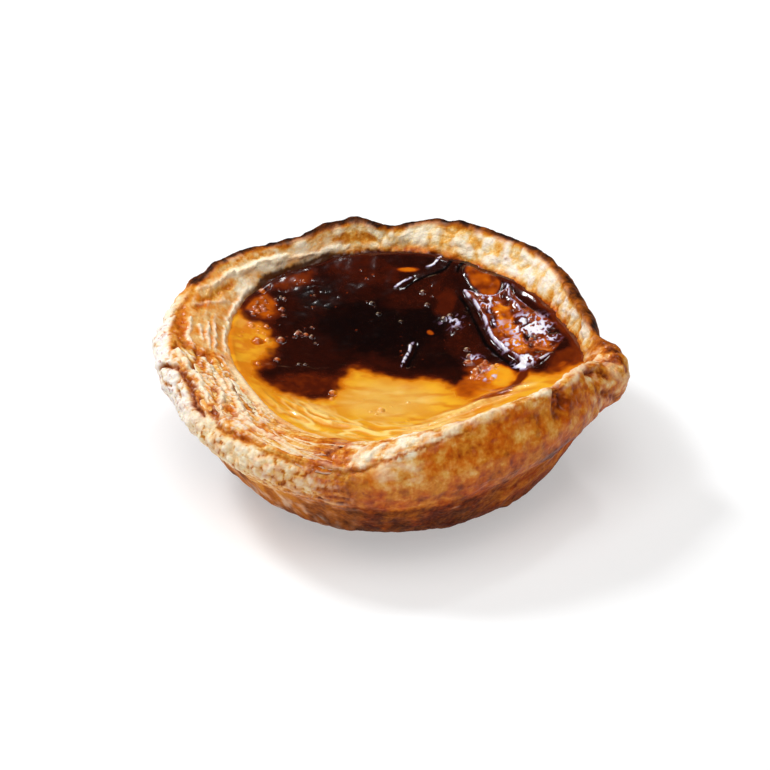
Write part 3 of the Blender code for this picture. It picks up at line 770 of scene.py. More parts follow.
custard = {
    "across": 298,  # points across the top
    "tuckedIn": 0.9,  # mm that the filling reaches into the pastry
    "caramelEdge": [
        (-25.8, 17.0), (-24.4, 13.3), (-20.8, 12.6), (-19.5, 9.5), (-19.5, 5.1), (-21.2, 2.2), (-22.3, -0.9),
        (-21.3, -4.2), (-19.1, -7.0), (-15.5, -8.6), (-12.1, -9.0), (-9.3, -6.7), (-8.1, -0.8), (-6.2, 2.2),
        (-3.3, 0.1), (1.3, -1.7), (6.3, -1.9), (8.7, -3.0), (10.8, -6.1), (12.5, -8.6), (14.4, -7.2),
        (16.4, -4.8), (18.6, -2.6), (21.1, -1.6), (25.0, -2.2), (30.0, -1.3), (38.0, 4.0), (30.0, 30.0),
        (12.0, 42.0), (-10.0, 38.0), (-20.0, 31.0), (-25.0, 24.0),
    ],
    # hidden rings under the top's border: share of its radius, then mm below it or mm above the ground
    "tuckedRing": (0.93, 4.0),
    "lowestRing": (0.72, 4.2),
    # raised folds in the skin: course, height, reach to the left and right of it, how much painted gleam lies
    # along it
    "folds": [
        ([(15.4, 20.4), (16.7, 18.4), (16.5, 15.6), (17.2, 12.4), (18.4, 9.6)], 0.35, 0.35, 0.5, 0.7),
        ([(19.2, 25.6), (20.0, 22.2), (19.9, 19.8), (20.9, 17.2), (22.3, 14.4), (23.6, 12.0)],
         0.5, 0.4, 0.45, 0.6),
        ([(23.2, -0.6), (24.6, 1.2), (26.7, 3.4)], 0.45, 0.4, 0.4, 0.9),
        ([(0.0, 24.1), (1.6, 25.6), (4.1, 27.5)], 0.30, 0.35, 0.6, 0.9),
        ([(4.9, 29.3), (7.0, 29.9), (8.1, 31.4), (9.4, 33.4)], 0.32, 0.4, 0.6, 1.0),
        ([(3.9, 10.2), (3.0, 7.0), (2.0, 3.4), (1.2, 0.6)], 0.38, 0.35, 0.5, 0.9),
        ([(8.4, 16.0), (9.6, 14.2), (9.9, 11.8), (9.4, 9.8)], 0.3, 0.5, 0.5, 0.3),
        ([(23.0, -7.0), (14.5, -11.5), (5.0, -18.6), (-3.0, -20.6)], 0.42, 0.45, 0.9, 0.0),
        ([(18.0, -8.9), (11.4, -13.2), (4.6, -17.0)], 0.36, 0.4, 0.8, 0.0),
        ([(21.0, -11.0), (13.0, -16.4), (4.4, -21.4), (-4.0, -22.6)], 0.40, 0.45, 0.8, 0.0),
        ([(24.8, -5.4), (18.4, -8.0), (13.4, -11.2)], 0.36, 0.4, 0.8, 0.0),
        ([(12.0, -14.6), (6.0, -19.6), (0.0, -21.8)], 0.30, 0.35, 0.6, 0.0),
        ([(-16.8, -13.6), (-10.0, -17.6), (-2.0, -19.4)], 0.34, 0.5, 0.8, 0.0),
        ([(-20.0, -8.0), (-15.0, -13.0), (-8.0, -16.6)], 0.28, 0.45, 0.8, 0.0),
        ([(-22.6, -6.0), (-17.8, -13.4), (-11.0, -18.6)], 0.26, 0.4, 0.7, 0.0),
    ],
    # places where a painted gleam lies on the crumpled skin: middle, reach, how much
    "gleams": [
        ((23.2, 10.8), 3.8, 1.2), ((25.6, 8.0), 2.8, 0.9), ((22.0, 0.8), 1.9, 1.4), ((20.2, 6.4), 2.6, 0.8),
        ((17.6, 12.0), 2.2, 0.6), ((16.4, 18.6), 2.0, 1.0), ((10.2, 14.4), 2.6, 0.7), ((13.4, 3.6), 2.0, 0.7),
        ((15.8, -1.8), 2.4, 0.7), ((19.4, 22.6), 1.2, 1.0),
    ],
    "flap": [(12.2, 23.4), (14.0, 18.6), (15.4, 14.4), (16.2, 10.0), (18.0, 6.2), (20.2, 2.6), (22.8, -0.8),
             (26.0, 2.6), (28.6, 6.8), (28.2, 11.0), (25.0, 14.4), (22.0, 18.4), (19.8, 21.8), (16.6, 20.2)],
    "blister": [
        (12.0, 28.3), (13.8, 29.5), (16.2, 28.8), (18.2, 26.4), (19.0, 23.8), (18.5, 21.4), (16.8, 19.8),
        (14.9, 21.2), (13.0, 24.6),
    ],
    "blisterHeight": 0.6,
    "charRings": {"at": (-13.6, 21.3), "radii": (1.9, 3.4, 4.7), "height": 0.07},
    # places of another tone: middle, sizes, turned by degrees, tone from 0 to 1, how far it goes
    "patches": [
        ((-1.5, 13.5), (13.0, 7.5), 8, 0.93, 0.9),
        ((6.5, 4.5), (7.0, 4.5), -10, 0.86, 0.7),
        ((-14.0, 5.0), (5.0, 8.0), 0, 0.74, 0.8),
        ((-14.5, -5.0), (6.4, 3.4), 10, 0.52, 0.85),
        ((-23.2, 18.2), (3.2, 5.0), 30, 0.30, 1.0),
        ((-17.5, 25.5), (5.0, 3.0), 35, 0.42, 0.9),
        ((-5.0, 28.8), (8.0, 3.2), -8, 0.64, 0.9),
        ((4.0, 22.0), (6.0, 3.4), 35, 0.66, 0.8),
        ((9.2, 20.0), (2.0, 4.4), -14, 0.50, 0.7),
        ((11.6, 9.0), (2.6, 6.5), 10, 0.66, 0.7),
        ((19.2, 13.4), (1.7, 5.4), 12, 0.20, 0.95),
        ((20.8, 6.2), (1.7, 3.2), 15, 0.18, 0.95),
        ((25.0, 5.8), (1.5, 2.8), 10, 0.24, 0.9),
        ((28.8, 0.6), (3.5, 3.3), 40, 0.50, 1.0),
        ((28.2, -0.4), (1.2, 0.8), 20, 0.36, 0.8),
        ((22.6, 9.6), (1.0, 4.6), 10, 0.58, 0.8),
        ((23.4, 2.6), (2.4, 0.9), 20, 0.60, 0.8),
        ((27.6, 9.0), (2.0, 3.2), 20, 0.62, 0.9),
        ((16.4, -3.4), (4.2, 5.4), 10, 0.14, 0.95),
        ((14.0, 1.6), (2.2, 3.0), 20, 0.34, 0.7),
        ((18.2, -3.0), (2.4, 4.0), 10, 0.0, 1.0),
        ((12.9, -5.6), (2.6, 4.4), -25, 0.28, 0.85),
        ((16.4, -8.4), (6.0, 1.1), 28, 0.42, 0.75),
        ((2.6, 28.9), (1.6, 0.7), 0, 0.22, 1.0),
        ((6.6, 12.0), (0.6, 0.7), 0, 0.26, 0.9),
        ((-22.3, 7.3), (1.5, 1.5), 0, 0.26, 0.9),
        ((-21.6, 0.2), (2.0, 2.4), 0, 0.34, 0.6),
    ],
    # black lines painted as the shadow beside the blister, the flap's standing edge and two ridges
    "blackLines": [
        [(11.0, 25.6), (11.6, 29.4), (14.4, 31.0), (17.8, 30.0), (20.4, 26.4), (22.4, 22.6)],
        [(10.4, 25.2), (12.0, 21.0), (13.2, 17.0), (14.4, 12.6), (15.4, 8.6), (17.6, 4.6), (20.0, 0.6),
         (21.8, -4.0)],
        [(4.8, 9.6), (4.0, 6.4), (3.0, 3.2), (2.2, 1.0)],
        [(1.2, 23.6), (4.2, 26.4), (9.0, 29.0), (10.8, 32.6)],
    ],
    "brownLine": [(22.8, 0.2), (21.4, -3.0), (20.1, -5.4), (18.2, -7.9), (15.3, -9.7), (11.6, -11.0)],
    # single bubbles: x, y, radius, and its own tone
    "singleBubbles": [
        (-22.1, 21.2, 0.62, 0.0), (-18.6, 16.8, 0.5, 0.1), (-15.9, 10.1, 0.5, 0.0), (-14.4, 10.0, 0.45, 0.0),
        (-18.5, 8.2, 0.7, 0.25), (-19.0, 2.3, 0.55, 0.0), (-22.1, 0.0, 0.5, 0.05), (-9.7, -7.1, 0.7, 0.05),
        (-9.8, -9.1, 0.45, 0.0), (-22.3, 7.3, 0.7, 0.3), (-20.7, 7.9, 0.5, 0.0), (-23.5, 11.5, 0.5, 0.0),
        (-21.0, 11.7, 0.45, 0.0), (-23.4, 14.6, 0.4, 0.1), (-22.6, 15.6, 0.45, 0.1), (-2.3, 17.0, 0.45, 0.6),
        (-3.4, 20.0, 0.5, 0.7), (6.0, 19.6, 0.5, 0.5), (5.3, 23.1, 0.55, 0.5), (1.5, 14.8, 0.4, 0.6),
        (12.6, 2.2, 0.8, 0.2), (13.9, -0.4, 0.75, 0.1), (14.9, -1.6, 0.55, 0.1), (16.6, 0.2, 0.6, 0.0),
        (17.3, 0.9, 0.4, 0.0), (15.5, 1.8, 0.5, 0.1), (16.4, -2.8, 0.5, 0.1), (13.2, -2.2, 0.5, 0.1),
        (8.8, 15.4, 0.6, 0.5), (9.8, 16.2, 0.55, 0.5), (10.8, 14.8, 0.5, 0.5), (10.9, 12.8, 0.55, 0.5),
        (12.5, 6.3, 0.55, 0.4), (12.9, 4.2, 0.6, 0.3), (-1.8, -12.6, 0.6, 0.0), (23.2, 7.4, 0.5, 0.1),
        (3.0, 7.6, 0.4, 0.5), (-15.4, 1.4, 0.4, 0.6), (-14.3, 1.3, 0.4, 0.6), (-19.6, 28.4, 0.7, 0.3),
    ],
    # swarms of small bubbles: middle, spread, how many, smallest and largest radius
    "swarms": [
        ((-22.5, 9.0), 3.4, 14, 0.14, 0.34),
        ((-14.5, 10.0), 2.6, 12, 0.18, 0.45),
        ((-21.5, 16.0), 2.4, 10, 0.2, 0.5),
        ((15.0, 0.0), 2.2, 26, 0.18, 0.45),
        ((-13.6, 21.3), 4.6, 9, 0.15, 0.35),
        ((-4.0, -14.0), 7.0, 7, 0.15, 0.35),
        ((3.0, 12.0), 11.0, 22, 0.12, 0.3),
        ((-20.5, 19.0), 3.5, 16, 0.15, 0.4),
        ((24.0, 8.0), 3.4, 26, 0.15, 0.4),
        ((-9.0, 28.0), 6.0, 9, 0.15, 0.3),
    ],
}


def onDisc(count):  # an even grid of points on a disc of radius 1, by squeezing a square's sides round
    side = np.linspace(-1, 1, count)
    a, b = np.meshgrid(side, side, indexing="ij")
    wide = np.abs(a) > np.abs(b)
    radius = np.where(wide, a, b)
    ratio = np.where(wide, b / np.where(a == 0, 1, a), a / np.where(b == 0, 1, b))
    angle = np.where(wide, math.pi / 4 * ratio, math.pi / 2 - math.pi / 4 * ratio)
    return radius * np.cos(angle), radius * np.sin(angle)


def swellFrom(x, y, middle, sizes, turn):  # 0 in the middle of an oval, 1 on its edge
    angle = math.radians(turn)
    dx, dy = x - middle[0], y - middle[1]
    long = dx * math.cos(angle) + dy * math.sin(angle)
    short = dy * math.cos(angle) - dx * math.sin(angle)
    return np.hypot(long / sizes[0], short / sizes[1])


def everyBubble():
    pick = np.random.default_rng(7)
    bubbles = list(custard["singleBubbles"])
    for middle, spread, count, small, large in custard["swarms"]:
        for x, y in pick.normal(middle, spread * 0.6, (count, 2)):
            bubbles.append((x, y, pick.uniform(small, large), pick.uniform(0.1, 0.6)))
    return bubbles


def plainTop():
    # the custard's top as a grid of points, and where each point lies on it
    u, v = onDisc(custard["across"])
    azimuth = np.degrees(np.arctan2(v, u)) % 360
    stops = np.arange(721) / 2
    edges = roundTheTart(custardEdges, stops)
    edge, edgeHeight = (np.interp(azimuth, stops, edges[:, k]) for k in (0, 1))
    x, y = ((edge + custard["tuckedIn"]) * part for part in (u, v))
    plan = np.stack([x, y], axis=-1)
    fromMiddle = np.hypot(x, y)
    return SimpleNamespace(
        x=x,
        y=y,
        z=mixed(custardMiddle, edgeHeight, np.minimum(1, fromMiddle / edge) ** 2),
        azimuth=azimuth,
        plan=plan,
        fromMiddle=fromMiddle,
        fromEdge=edge - fromMiddle,
        wobble=[0.9 * noise(plan, 4.5, seed, 2) for seed in (101, 102)],
    )


def wavering(at, share):  # the same places, moved a little so that a course drawn there wavers
    return at.x + share * at.wobble[0], at.y + share * at.wobble[1]


def brownSkin(at):
    # where the caramel lies, and its tone: 0 is amber and 1 is black
    at.depth = depthInside(*wavering(at, 1), custard["caramelEdge"])
    at.inBlister = depthInside(*wavering(at, 0.3), custard["blister"])
    at.inFlap = depthInside(*wavering(at, 0.25), custard["flap"])
    at.flap = ease(-0.2, 0.4, at.inFlap)
    at.crumpled = 1 - 2.4 * np.abs(noise(at.plan * [1.0, 0.75], 2.6, 116, 2))  # up to 1 along its creases
    caramel = ease(-3.0, 2.6, at.depth + 0.8 * noise(at.plan, 2.0, 103, 2))
    tone = mixed(0.74 + 0.09 * noise(at.plan, 5, 104, 3), 0.44, at.flap)
    spread = 0.20 * noise(at.plan, 2.2, 105, 3)
    for middle, sizes, turn, aim, strength in custard["patches"]:
        swell = swellFrom(*wavering(at, 1), middle, sizes, turn)
        share = strength * (1 - ease(0.62, 1.25, swell + spread))
        tone = mixed(tone, aim, share)
        if aim < 0.4:  # an amber place shows outside the caramel too
            caramel = np.maximum(caramel, 0.85 * share * share)
    # in the flap it is darker between the creases and paler along them, partly painted shade
    creased = tone + 0.10 - 0.20 * at.crumpled + 0.16 * noise(at.plan, 1.8, 106, 3)
    tone = mixed(tone, creased, ease(0.2, 1.2, at.inFlap))
    tone = tone + 0.05 * noise(at.plan, 1.2, 107, 2)
    blistered = 0.35 + 0.16 * noise(at.plan, 2.0, 108, 2) + 0.35 * ease(0.8, 0.1, at.inBlister)
    return caramel, mixed(tone, blistered, ease(-0.1, 0.4, at.inBlister))


def addFolds(at, top):  # raised folds, with a painted gleam along them in the caramel and a painted pale highlight on their crests in the yellow
    broken = ease(-0.5, 0.1, noise(at.plan, 0.9, 114, 2))
    for path, height, left, right, paintedShine in custard["folds"]:
        gap, place, side = gapToPath(*wavering(at, 0.25), smoothPath(path))
        taper = ease(-0.02, 0.3, place) * (1 - ease(0.7, 1.02, place))
        top.relief += height * taper * np.exp(-((gap / np.where(side > 0, right, left)) ** 1.25))
        top.gleam = np.maximum(top.gleam, paintedShine * taper * bell(gap, 0.08, 0.20) * broken)
        if paintedShine == 0:
            # a painted pale highlight along the fold's crest
            crest = 0.85 * taper * bell(gap, 0.1, 0.5) * (0.4 + 0.6 * broken) * ease(-18, 6, at.x)
            top.light = np.maximum(top.light, crest)
            # painted shade beside each yellow fold, laid in later as deeper yellow
            top.furrows = np.maximum(top.furrows, taper * bell(gap, 1.2, 0.5))


def addLines(at, top):  # the brown edge along the pastry, the brown line, and black lines painted as the shadow beside raised edges
    fringe = ease(0.9, 0.1, at.fromEdge + 0.3 * noise(at.plan, 3, 128)) * arc(at.azimuth, -2, 160, 20)
    top.tone = mixed(top.tone, mixed(0.50, 0.62, arc(at.azimuth, 50, 170, 30)), 0.9 * fringe)
    gap, place, _ = gapToPath(*wavering(at, 0.3), smoothPath(custard["brownLine"]))
    brown = ease(1.05, 0.8, place) * bell(gap, 0, 1.0 + 0.4 * noise(at.plan, 1.6, 135, 2))
    top.tone = mixed(top.tone, 0.56 - 0.24 * place, brown)
    top.caramel = np.maximum(top.caramel, brown)
    for path in custard["blackLines"]:
        gap, place, _ = gapToPath(*wavering(at, 0.3), smoothPath(path))
        taper = ease(0, 0.15, place) * (1 - ease(0.85, 1, place))
        top.black = np.maximum(top.black, taper * bell(gap, 0, 0.75 + 0.3 * noise(at.plan, 3, 115)))


def addFlap(at, top):  # a crumpled sheet of skin that stands up along its left edge, with a painted gleam along its lip and on its creases, and a blister behind it
    standing = ease(26, 21, at.x) * ease(24.5, 20.5, at.y)
    edge = 0.50 * ease(-0.12, 0.30, at.inFlap) + 0.28 * bell(at.inFlap, 0.28, 0.24)
    top.relief += edge * standing
    shimmer = 1 - 2.4 * np.abs(noise(at.plan * [1.0, 0.6], 1.1, 130, 2))
    creases = at.flap * (0.26 * at.crumpled + 0.10 * shimmer) * ease(0, 1.2, at.inFlap)
    top.relief += creases - 0.2 * top.black
    # a painted highlight along the flap's standing lip
    lip = 0.95 * bell(at.inFlap, 0.2, 0.2) * ease(25, 21, at.x) * ease(-0.7, -0.1, noise(at.plan, 2.4, 118))
    top.gleam = np.maximum(top.gleam, lip)
    for middle, reach, paintedShine in custard["gleams"]:
        near = bell(np.hypot(at.x - middle[0], at.y - middle[1]), 0, reach)
        spread = ease(-0.3, 0.3, at.crumpled - 0.3 + noise(at.plan, 1.5, 124, 2))
        top.gleam = np.maximum(top.gleam, paintedShine * near * spread * ease(0.15, 0.6, shimmer))
    rough = 1 + 0.25 * noise(at.plan, 2.0, 127, 2)
    top.relief += custard["blisterHeight"] * np.sqrt(np.clip(at.inBlister / 3.2, 0, 1)) * rough


def addChar(at, top):  # a burnt place with faint rings
    rings = custard["charRings"]
    away = np.hypot(at.x - rings["at"][0], 1.15 * (at.y - rings["at"][1])) + 0.9 * noise(at.plan, 2.6, 119, 2)
    top.char = bell(away, 0, 5.2) * ease(-0.2, 0.3, noise(at.plan, 4, 120) + 0.25)
    for radius in rings["radii"]:
        arcs = bell(away, radius, 0.30) * ease(-0.05, 0.25, noise(at.plan + radius, 2.6, 121))
        top.relief += rings["height"] * arcs
    top.relief += top.char * 0.05 * noise(at.plan, 1.6, 122, 2)


def addBubbles(at, top):
    for a, b, size, ownTone in everyBubble():
        gap = np.hypot(at.x - a, at.y - b) / size
        dome = np.sqrt(np.clip(1 - gap**2, 0, 1))
        top.relief += size * (0.62 * dome - 0.12 * bell(gap, 1.2, 0.25)) * (at.fromEdge > 0.6)
        if size > 0.3:
            # a painted highlight on each larger bubble, set off towards the window light
            spot = bell(np.hypot(at.x - a + 0.3 * size, at.y - b - 0.3 * size), 0, 0.34 * size)
            top.glint = np.maximum(top.glint, (1 if size > 0.5 else 0.7) * spot)
        top.tone = mixed(top.tone, ownTone, 0.55 * ease(0.1, 0.6, dome))


def addWrinkles(at, top):  # the yellow skin at the front is drawn into waves along the pastry, with a painted pale highlight on their crests
    waves = np.sin(2 * math.pi * (at.fromEdge + 0.9 * noise(at.plan, 8, 123)) / 2.1)
    front = arc(at.azimuth, 215, 325, 30) * (1 - top.caramel)
    top.relief += front * 0.09 * waves * ease(0, 1.2, at.fromEdge) * (1 - ease(5, 8, at.fromEdge))
    turned = turnFrom(at.azimuth, 270)
    course = np.stack([turned * 0.5 * 0.26, at.fromEdge + 0.05 * turned], axis=-1)
    top.wrinkle = 1 - 2.4 * np.abs(noise(course, 2.3, 129, 2))
    top.wrinkled = front * ease(0.3, 1.5, at.fromEdge) * (1 - ease(5, 10, at.fromEdge))
    top.relief += 0.13 * top.wrinkled * top.wrinkle
    # a painted pale highlight along the wrinkles' crests
    top.light = np.maximum(top.light, 0.9 * top.wrinkled * ease(0.35, 0.9, top.wrinkle))
    border = bell(at.fromEdge + 0.5 * noise(at.plan, 4, 133), 1.0, 0.8) * arc(at.azimuth, 215, 330, 30)
    top.light = np.maximum(top.light, 0.75 * border * ease(-0.3, 0.3, noise(at.plan, 2.4, 134, 2)))


def yellows(at, top):
    # deeper yellow round the caramel and along the pastry, and as painted shade in the wrinkles' troughs and
    # beside the folds; paler in the middle of the front
    golden = 0.25 + 0.75 * ease(-0.25, 0.25, noise(at.plan, 2.8, 131, 3))
    deeper = [
        ease(-3.0, -0.2, at.depth + 0.9 * noise(at.plan, 2.4, 124, 2)),
        0.8 * bell(at.fromEdge, 0.0, 0.9) * (1 - arc(at.azimuth, 146, 235, 30)),
        golden * arc(at.azimuth, 130, 205, 30) * ease(8, 14, at.fromMiddle),
        0.6 * ease(-0.1, 0.6, noise(at.plan, 5.5, 125, 2) + 0.1),
        0.85 * ease(-0.05, 0.5, noise(at.plan * [0.6, 1.4], 3.0, 132, 3)),
        # deeper yellow in the wrinkles' troughs and beside the folds: painted shade
        0.8 * top.wrinkled * ease(0.1, -0.5, top.wrinkle),
        0.9 * top.furrows,
    ]
    amber = np.maximum.reduce(deeper)
    pale = ease(10.5, 3.5, np.hypot(at.x + 0.6, 1.25 * (at.y + 9.4)) + 1.5 * noise(at.plan, 5, 126, 2))
    top.light = np.maximum(top.light, 0.42 * pale * ease(0.0, 0.6, noise(at.plan * [0.7, 1.3], 3.4, 136, 3)))
    return np.clip(amber * (1 - 0.55 * pale), 0, 1), pale


def custardSurface():
    at = plainTop()
    top = SimpleNamespace()
    for name in ("gleam", "light", "furrows", "black", "glint"):
        setattr(top, name, np.zeros(at.x.shape))
    top.caramel, top.tone = brownSkin(at)
    top.relief = 0.28 * noise(at.plan, 9, 111, 2) + (0.07 + 0.05 * top.caramel) * noise(at.plan, 3.0, 112, 2)
    for add in (addFolds, addLines, addFlap, addChar, addBubbles, addWrinkles):
        add(at, top)
    climb = 0.30 - 0.22 * arc(at.azimuth, 60, 160, 30)  # the filling creeps up the pastry
    relief = top.relief * ease(-0.2, 0.8, at.fromEdge) + climb * np.exp(-np.maximum(at.fromEdge, 0) / 1.0)
    amber, pale = yellows(at, top)
    masks = {
        "caramel": top.caramel,
        "tone": np.clip(np.maximum(top.tone, top.black), 0, 1),
        "amber": amber,
        "pale": pale * (1 - top.caramel),
        "char": top.char * top.caramel,
        "gleam": np.clip(top.gleam, 0, 1),
        "light": top.light * (1 - top.caramel),
        "glint": top.glint,
    }
    return np.stack([at.x, at.y, at.z + relief], axis=-1), masks


def makeCustard(finish):
    points, masks = custardSurface()
    count = custard["across"]
    index = np.arange(count * count).reshape(count, count)
    faces = np.stack([index[:-1, :-1], index[1:, :-1], index[1:, 1:], index[:-1, 1:]], axis=-1).reshape(-1, 4)
    border = np.concatenate([index[:-1, 0], index[-1, :-1], index[:0:-1, -1], index[0, :0:-1]])
    flat = points.reshape(-1, 3)
    (tucked, drop), (lowest, height) = custard["tuckedRing"], custard["lowestRing"]
    skirts = [
        flat[border] * [tucked, tucked, 1] - [0, 0, drop],
        flat[border] * [lowest, lowest, 0] + [0, 0, height],
    ]
    rings = [border, *(len(flat) + k * len(border) + np.arange(len(border)) for k in range(2))]
    quads = [faces]
    for upper, lower in zip(rings, rings[1:]):
        quads.append(np.stack([upper, lower, np.roll(lower, -1), np.roll(upper, -1)], axis=1))
    last = len(flat) + 2 * len(border)
    fan = [(int(b), int(a), last) for a, b in zip(rings[-1], np.roll(rings[-1], -1))]
    flat = np.concatenate([flat, *skirts, skirts[-1].mean(axis=0)[None]])
    extra = 2 * len(border) + 1
    flatMasks = {name: np.concatenate([values.ravel(), np.zeros(extra)]) for name, values in masks.items()}
    return meshPiece("custardFilling", flat, np.concatenate(quads).tolist() + fan, finish, flatMasks)


class Wire:  # a node's output, which sums and products can be written with
    def __init__(self, tree, socket):
        self.tree = tree
        self.socket = socket

    def maths(self, kind, one, other):
        return self.tree.add("ShaderNodeMath", {"operation": kind}, one, other)

    def __add__(self, other):
        return self.maths("ADD", self, other)

    def __sub__(self, other):
        return self.maths("SUBTRACT", self, other)

    def __rsub__(self, other):
        return self.maths("SUBTRACT", other, self)

    def __mul__(self, other):
        return self.maths("MULTIPLY", self, other)

    __radd__ = __add__
    __rmul__ = __mul__


class Finish:  # one material and its nodes
    def __init__(self, name):
        self.material = bpy.data.materials.new(name)
        self.material.use_nodes = True
        self.nodes = self.material.node_tree.nodes
        self.links = self.material.node_tree.links
        self.shader = self.nodes["Principled BSDF"]

    def add(self, kind, settings, *values, output=0, **named):
        # settings come first, since they decide which sockets a node has
        node = self.nodes.new(kind)
        for setting, value in settings.items():
            if setting == "stops":
                self.fillRamp(node.color_ramp, value)
            else:
                setattr(node, setting, value)
        for place, value in [*enumerate(values), *named.items()]:
            self.plug(node, place, value)
        shown = [socket for socket in node.outputs if socket.enabled]
        return Wire(self, node.outputs[output] if isinstance(output, str) else shown[output])

    def fillRamp(self, ramp, stops):
        while len(ramp.elements) > 1:
            ramp.elements.remove(ramp.elements[-1])
        ramp.elements[0].position = stops[0][0]
        ramp.elements[0].color = colour(stops[0][1])
        for place, tone in stops[1:]:
            ramp.elements.new(place).color = colour(tone)

    def plug(self, node, place, value):
        if isinstance(place, int):
            socket = node.inputs[place]
        else:
            socket = next(s for s in node.inputs if place in (s.identifier, s.name.replace(" ", "")))
        if isinstance(value, Wire):
            self.links.new(value.socket, socket)
        else:
            socket.default_value = value

    def mask(self, name, output="Fac"):
        return self.add("ShaderNodeAttribute", {"attribute_name": name}, output=output)

    def place(self):
        return self.add("ShaderNodeTexCoord", {}, output="Object")

    def stretched(self, where, scale):
        return self.add("ShaderNodeVectorMath", {"operation": "MULTIPLY"}, where, scale)

    def blend(self, share, one, other, how="MIX"):
        one, other = (colour(c) if isinstance(c, tuple) else c for c in (one, other))
        settings = {"data_type": "RGBA", "blend_type": how, "clamp_factor": True}
        return self.add("ShaderNodeMix", settings, Factor_Float=share, A_Color=one, B_Color=other)

    def ramp(self, value, stops):
        return self.add("ShaderNodeValToRGB", {"stops": stops}, value)

    def spots(self, where, scale, detail=3.0, roughness=0.55):  # about -1 to 1
        values = {"Vector": where, "Scale": scale, "Detail": detail, "Roughness": roughness}
        return (self.add("ShaderNodeTexNoise", {}, **values) - 0.5) * 2.6

    def between(self, value, low, high):  # a value cut to 0 below low and 1 above high
        settings = {"interpolation_type": "SMOOTHSTEP"}
        return self.add("ShaderNodeMapRange", settings, value, low, high, 0.0, 1.0)

    def finish(self, **sockets):
        for name, value in sockets.items():
            self.plug(self.shader, name, value)
        return self.material


def colour(tone):  # (red, green, blue) as they look on a screen, 0 to 255, as light
    shares = [part / 255 for part in tone]
    light = [c / 12.92 if c <= 0.04045 else ((c + 0.055) / 1.055) ** 2.4 for c in shares]
    return (*light, 1.0)


pastryTones = {
    "bake": [
        (0.00, (252, 238, 208)), (0.16, (246, 214, 156)), (0.32, (234, 176, 88)), (0.46, (216, 136, 38)),
        (0.60, (192, 106, 22)), (0.74, (148, 74, 14)), (0.88, (90, 42, 10)), (1.00, (34, 16, 11)),
    ],
    "cream": (254, 240, 214),
    # a painted whitish sheen
    "frost": (250, 240, 236),
    "speck": (190, 128, 104),
    "syrup": (64, 20, 8),
    # the red-brown of crevices, specks and mottling; in crevices and hollows it is partly painted shade
    "gap": (118, 44, 10),
    "butter": (244, 176, 60),
    "mottling": (0.13, 0.20, 0.15),  # how much the coarse, middle and fine mottling change the bake
}


def puffPastry():
    it = Finish("puffPastry")
    where = it.place()
    flow = it.mask("flow", "Vector")
    coarse = it.spots(where, 250, 3)
    middle = it.spots(where, 760, 3)
    fine = it.spots(where, 2000, 2)
    streaks = it.spots(it.stretched(flow, (1.0, 1.0, 0.25)), 0.8, 3)
    lines = it.spots(it.stretched(flow, (0.15, 0.15, 1.0)), 1.6, 2)
    shares = pastryTones["mottling"]
    mottled = coarse * shares[0] + middle * shares[1] + fine * shares[2] + streaks * 0.03
    bake = it.mask("toast") + mottled * (1 - it.mask("calm") * 0.8)
    body = it.ramp(bake, pastryTones["bake"])
    butter = it.mask("butter")
    buttered = butter * it.between(coarse + middle * 0.5, -0.6, 0.5)
    body = it.blend(buttered, body, pastryTones["butter"], "MULTIPLY")
    body = it.blend(it.mask("cream") * 0.85, body, pastryTones["cream"])
    # a painted whitish sheen, flecked with brown specks
    frost = it.mask("frost")
    body = it.blend(frost * it.between(middle + fine * 0.6, -0.7, 0.3), body, pastryTones["frost"])
    body = it.blend(frost * it.between(middle - fine * 0.6, 0.15, 0.6) * 0.8, body, pastryTones["speck"])
    # red-brown in crevices and hollows, partly painted shade, and on specks and mottling
    body = it.blend(it.mask("gap") * 0.85, body, pastryTones["gap"])
    body = it.blend(it.mask("syrup") * 0.95, body, pastryTones["syrup"])
    glaze = it.mask("glaze") + it.mask("syrup")
    rough = 0.66 - glaze * 0.24 + fine * 0.08
    height = coarse * 0.30 + middle * 0.24 + fine * 0.12 + streaks * 0.08 + lines * 0.12
    height = height * (1 - it.mask("calm") * 0.6)
    bump = it.add("ShaderNodeBump", {}, Strength=0.9, Distance=0.0005, Height=height)
    return it.finish(BaseColor=body, Roughness=rough, Normal=bump, SubsurfaceWeight=0.08,
                     SubsurfaceRadius=(1.0, 0.5, 0.2), SubsurfaceScale=0.001, SpecularIORLevel=0.06,
                     CoatWeight=glaze * 0.35, CoatRoughness=0.2)


custardTones = {
    "bake": [
        (0.00, (236, 160, 30)), (0.14, (222, 124, 12)), (0.28, (184, 84, 6)), (0.42, (126, 46, 5)),
        (0.56, (78, 22, 5)), (0.70, (46, 11, 4)), (0.84, (22, 5, 3)), (1.00, (7, 3, 3)),
    ],
    "yolk": (236, 171, 36),
    "amber": (212, 117, 5),
    "pale": (230, 176, 84),
    # a painted pale highlight along the yellow's folds and wrinkles; the same colour also makes paler patches
    # and a pale band along the pastry
    "light": (255, 226, 140),
    "char": (8, 9, 9),
    # the colour of the painted highlights on the bubbles
    "glint": (255, 226, 186),
    # the colours of the painted gleam, from its lilac fringe to white
    "gleam": [(0.30, (150, 112, 140)), (0.55, (204, 196, 226)), (0.90, (252, 252, 255))],
}


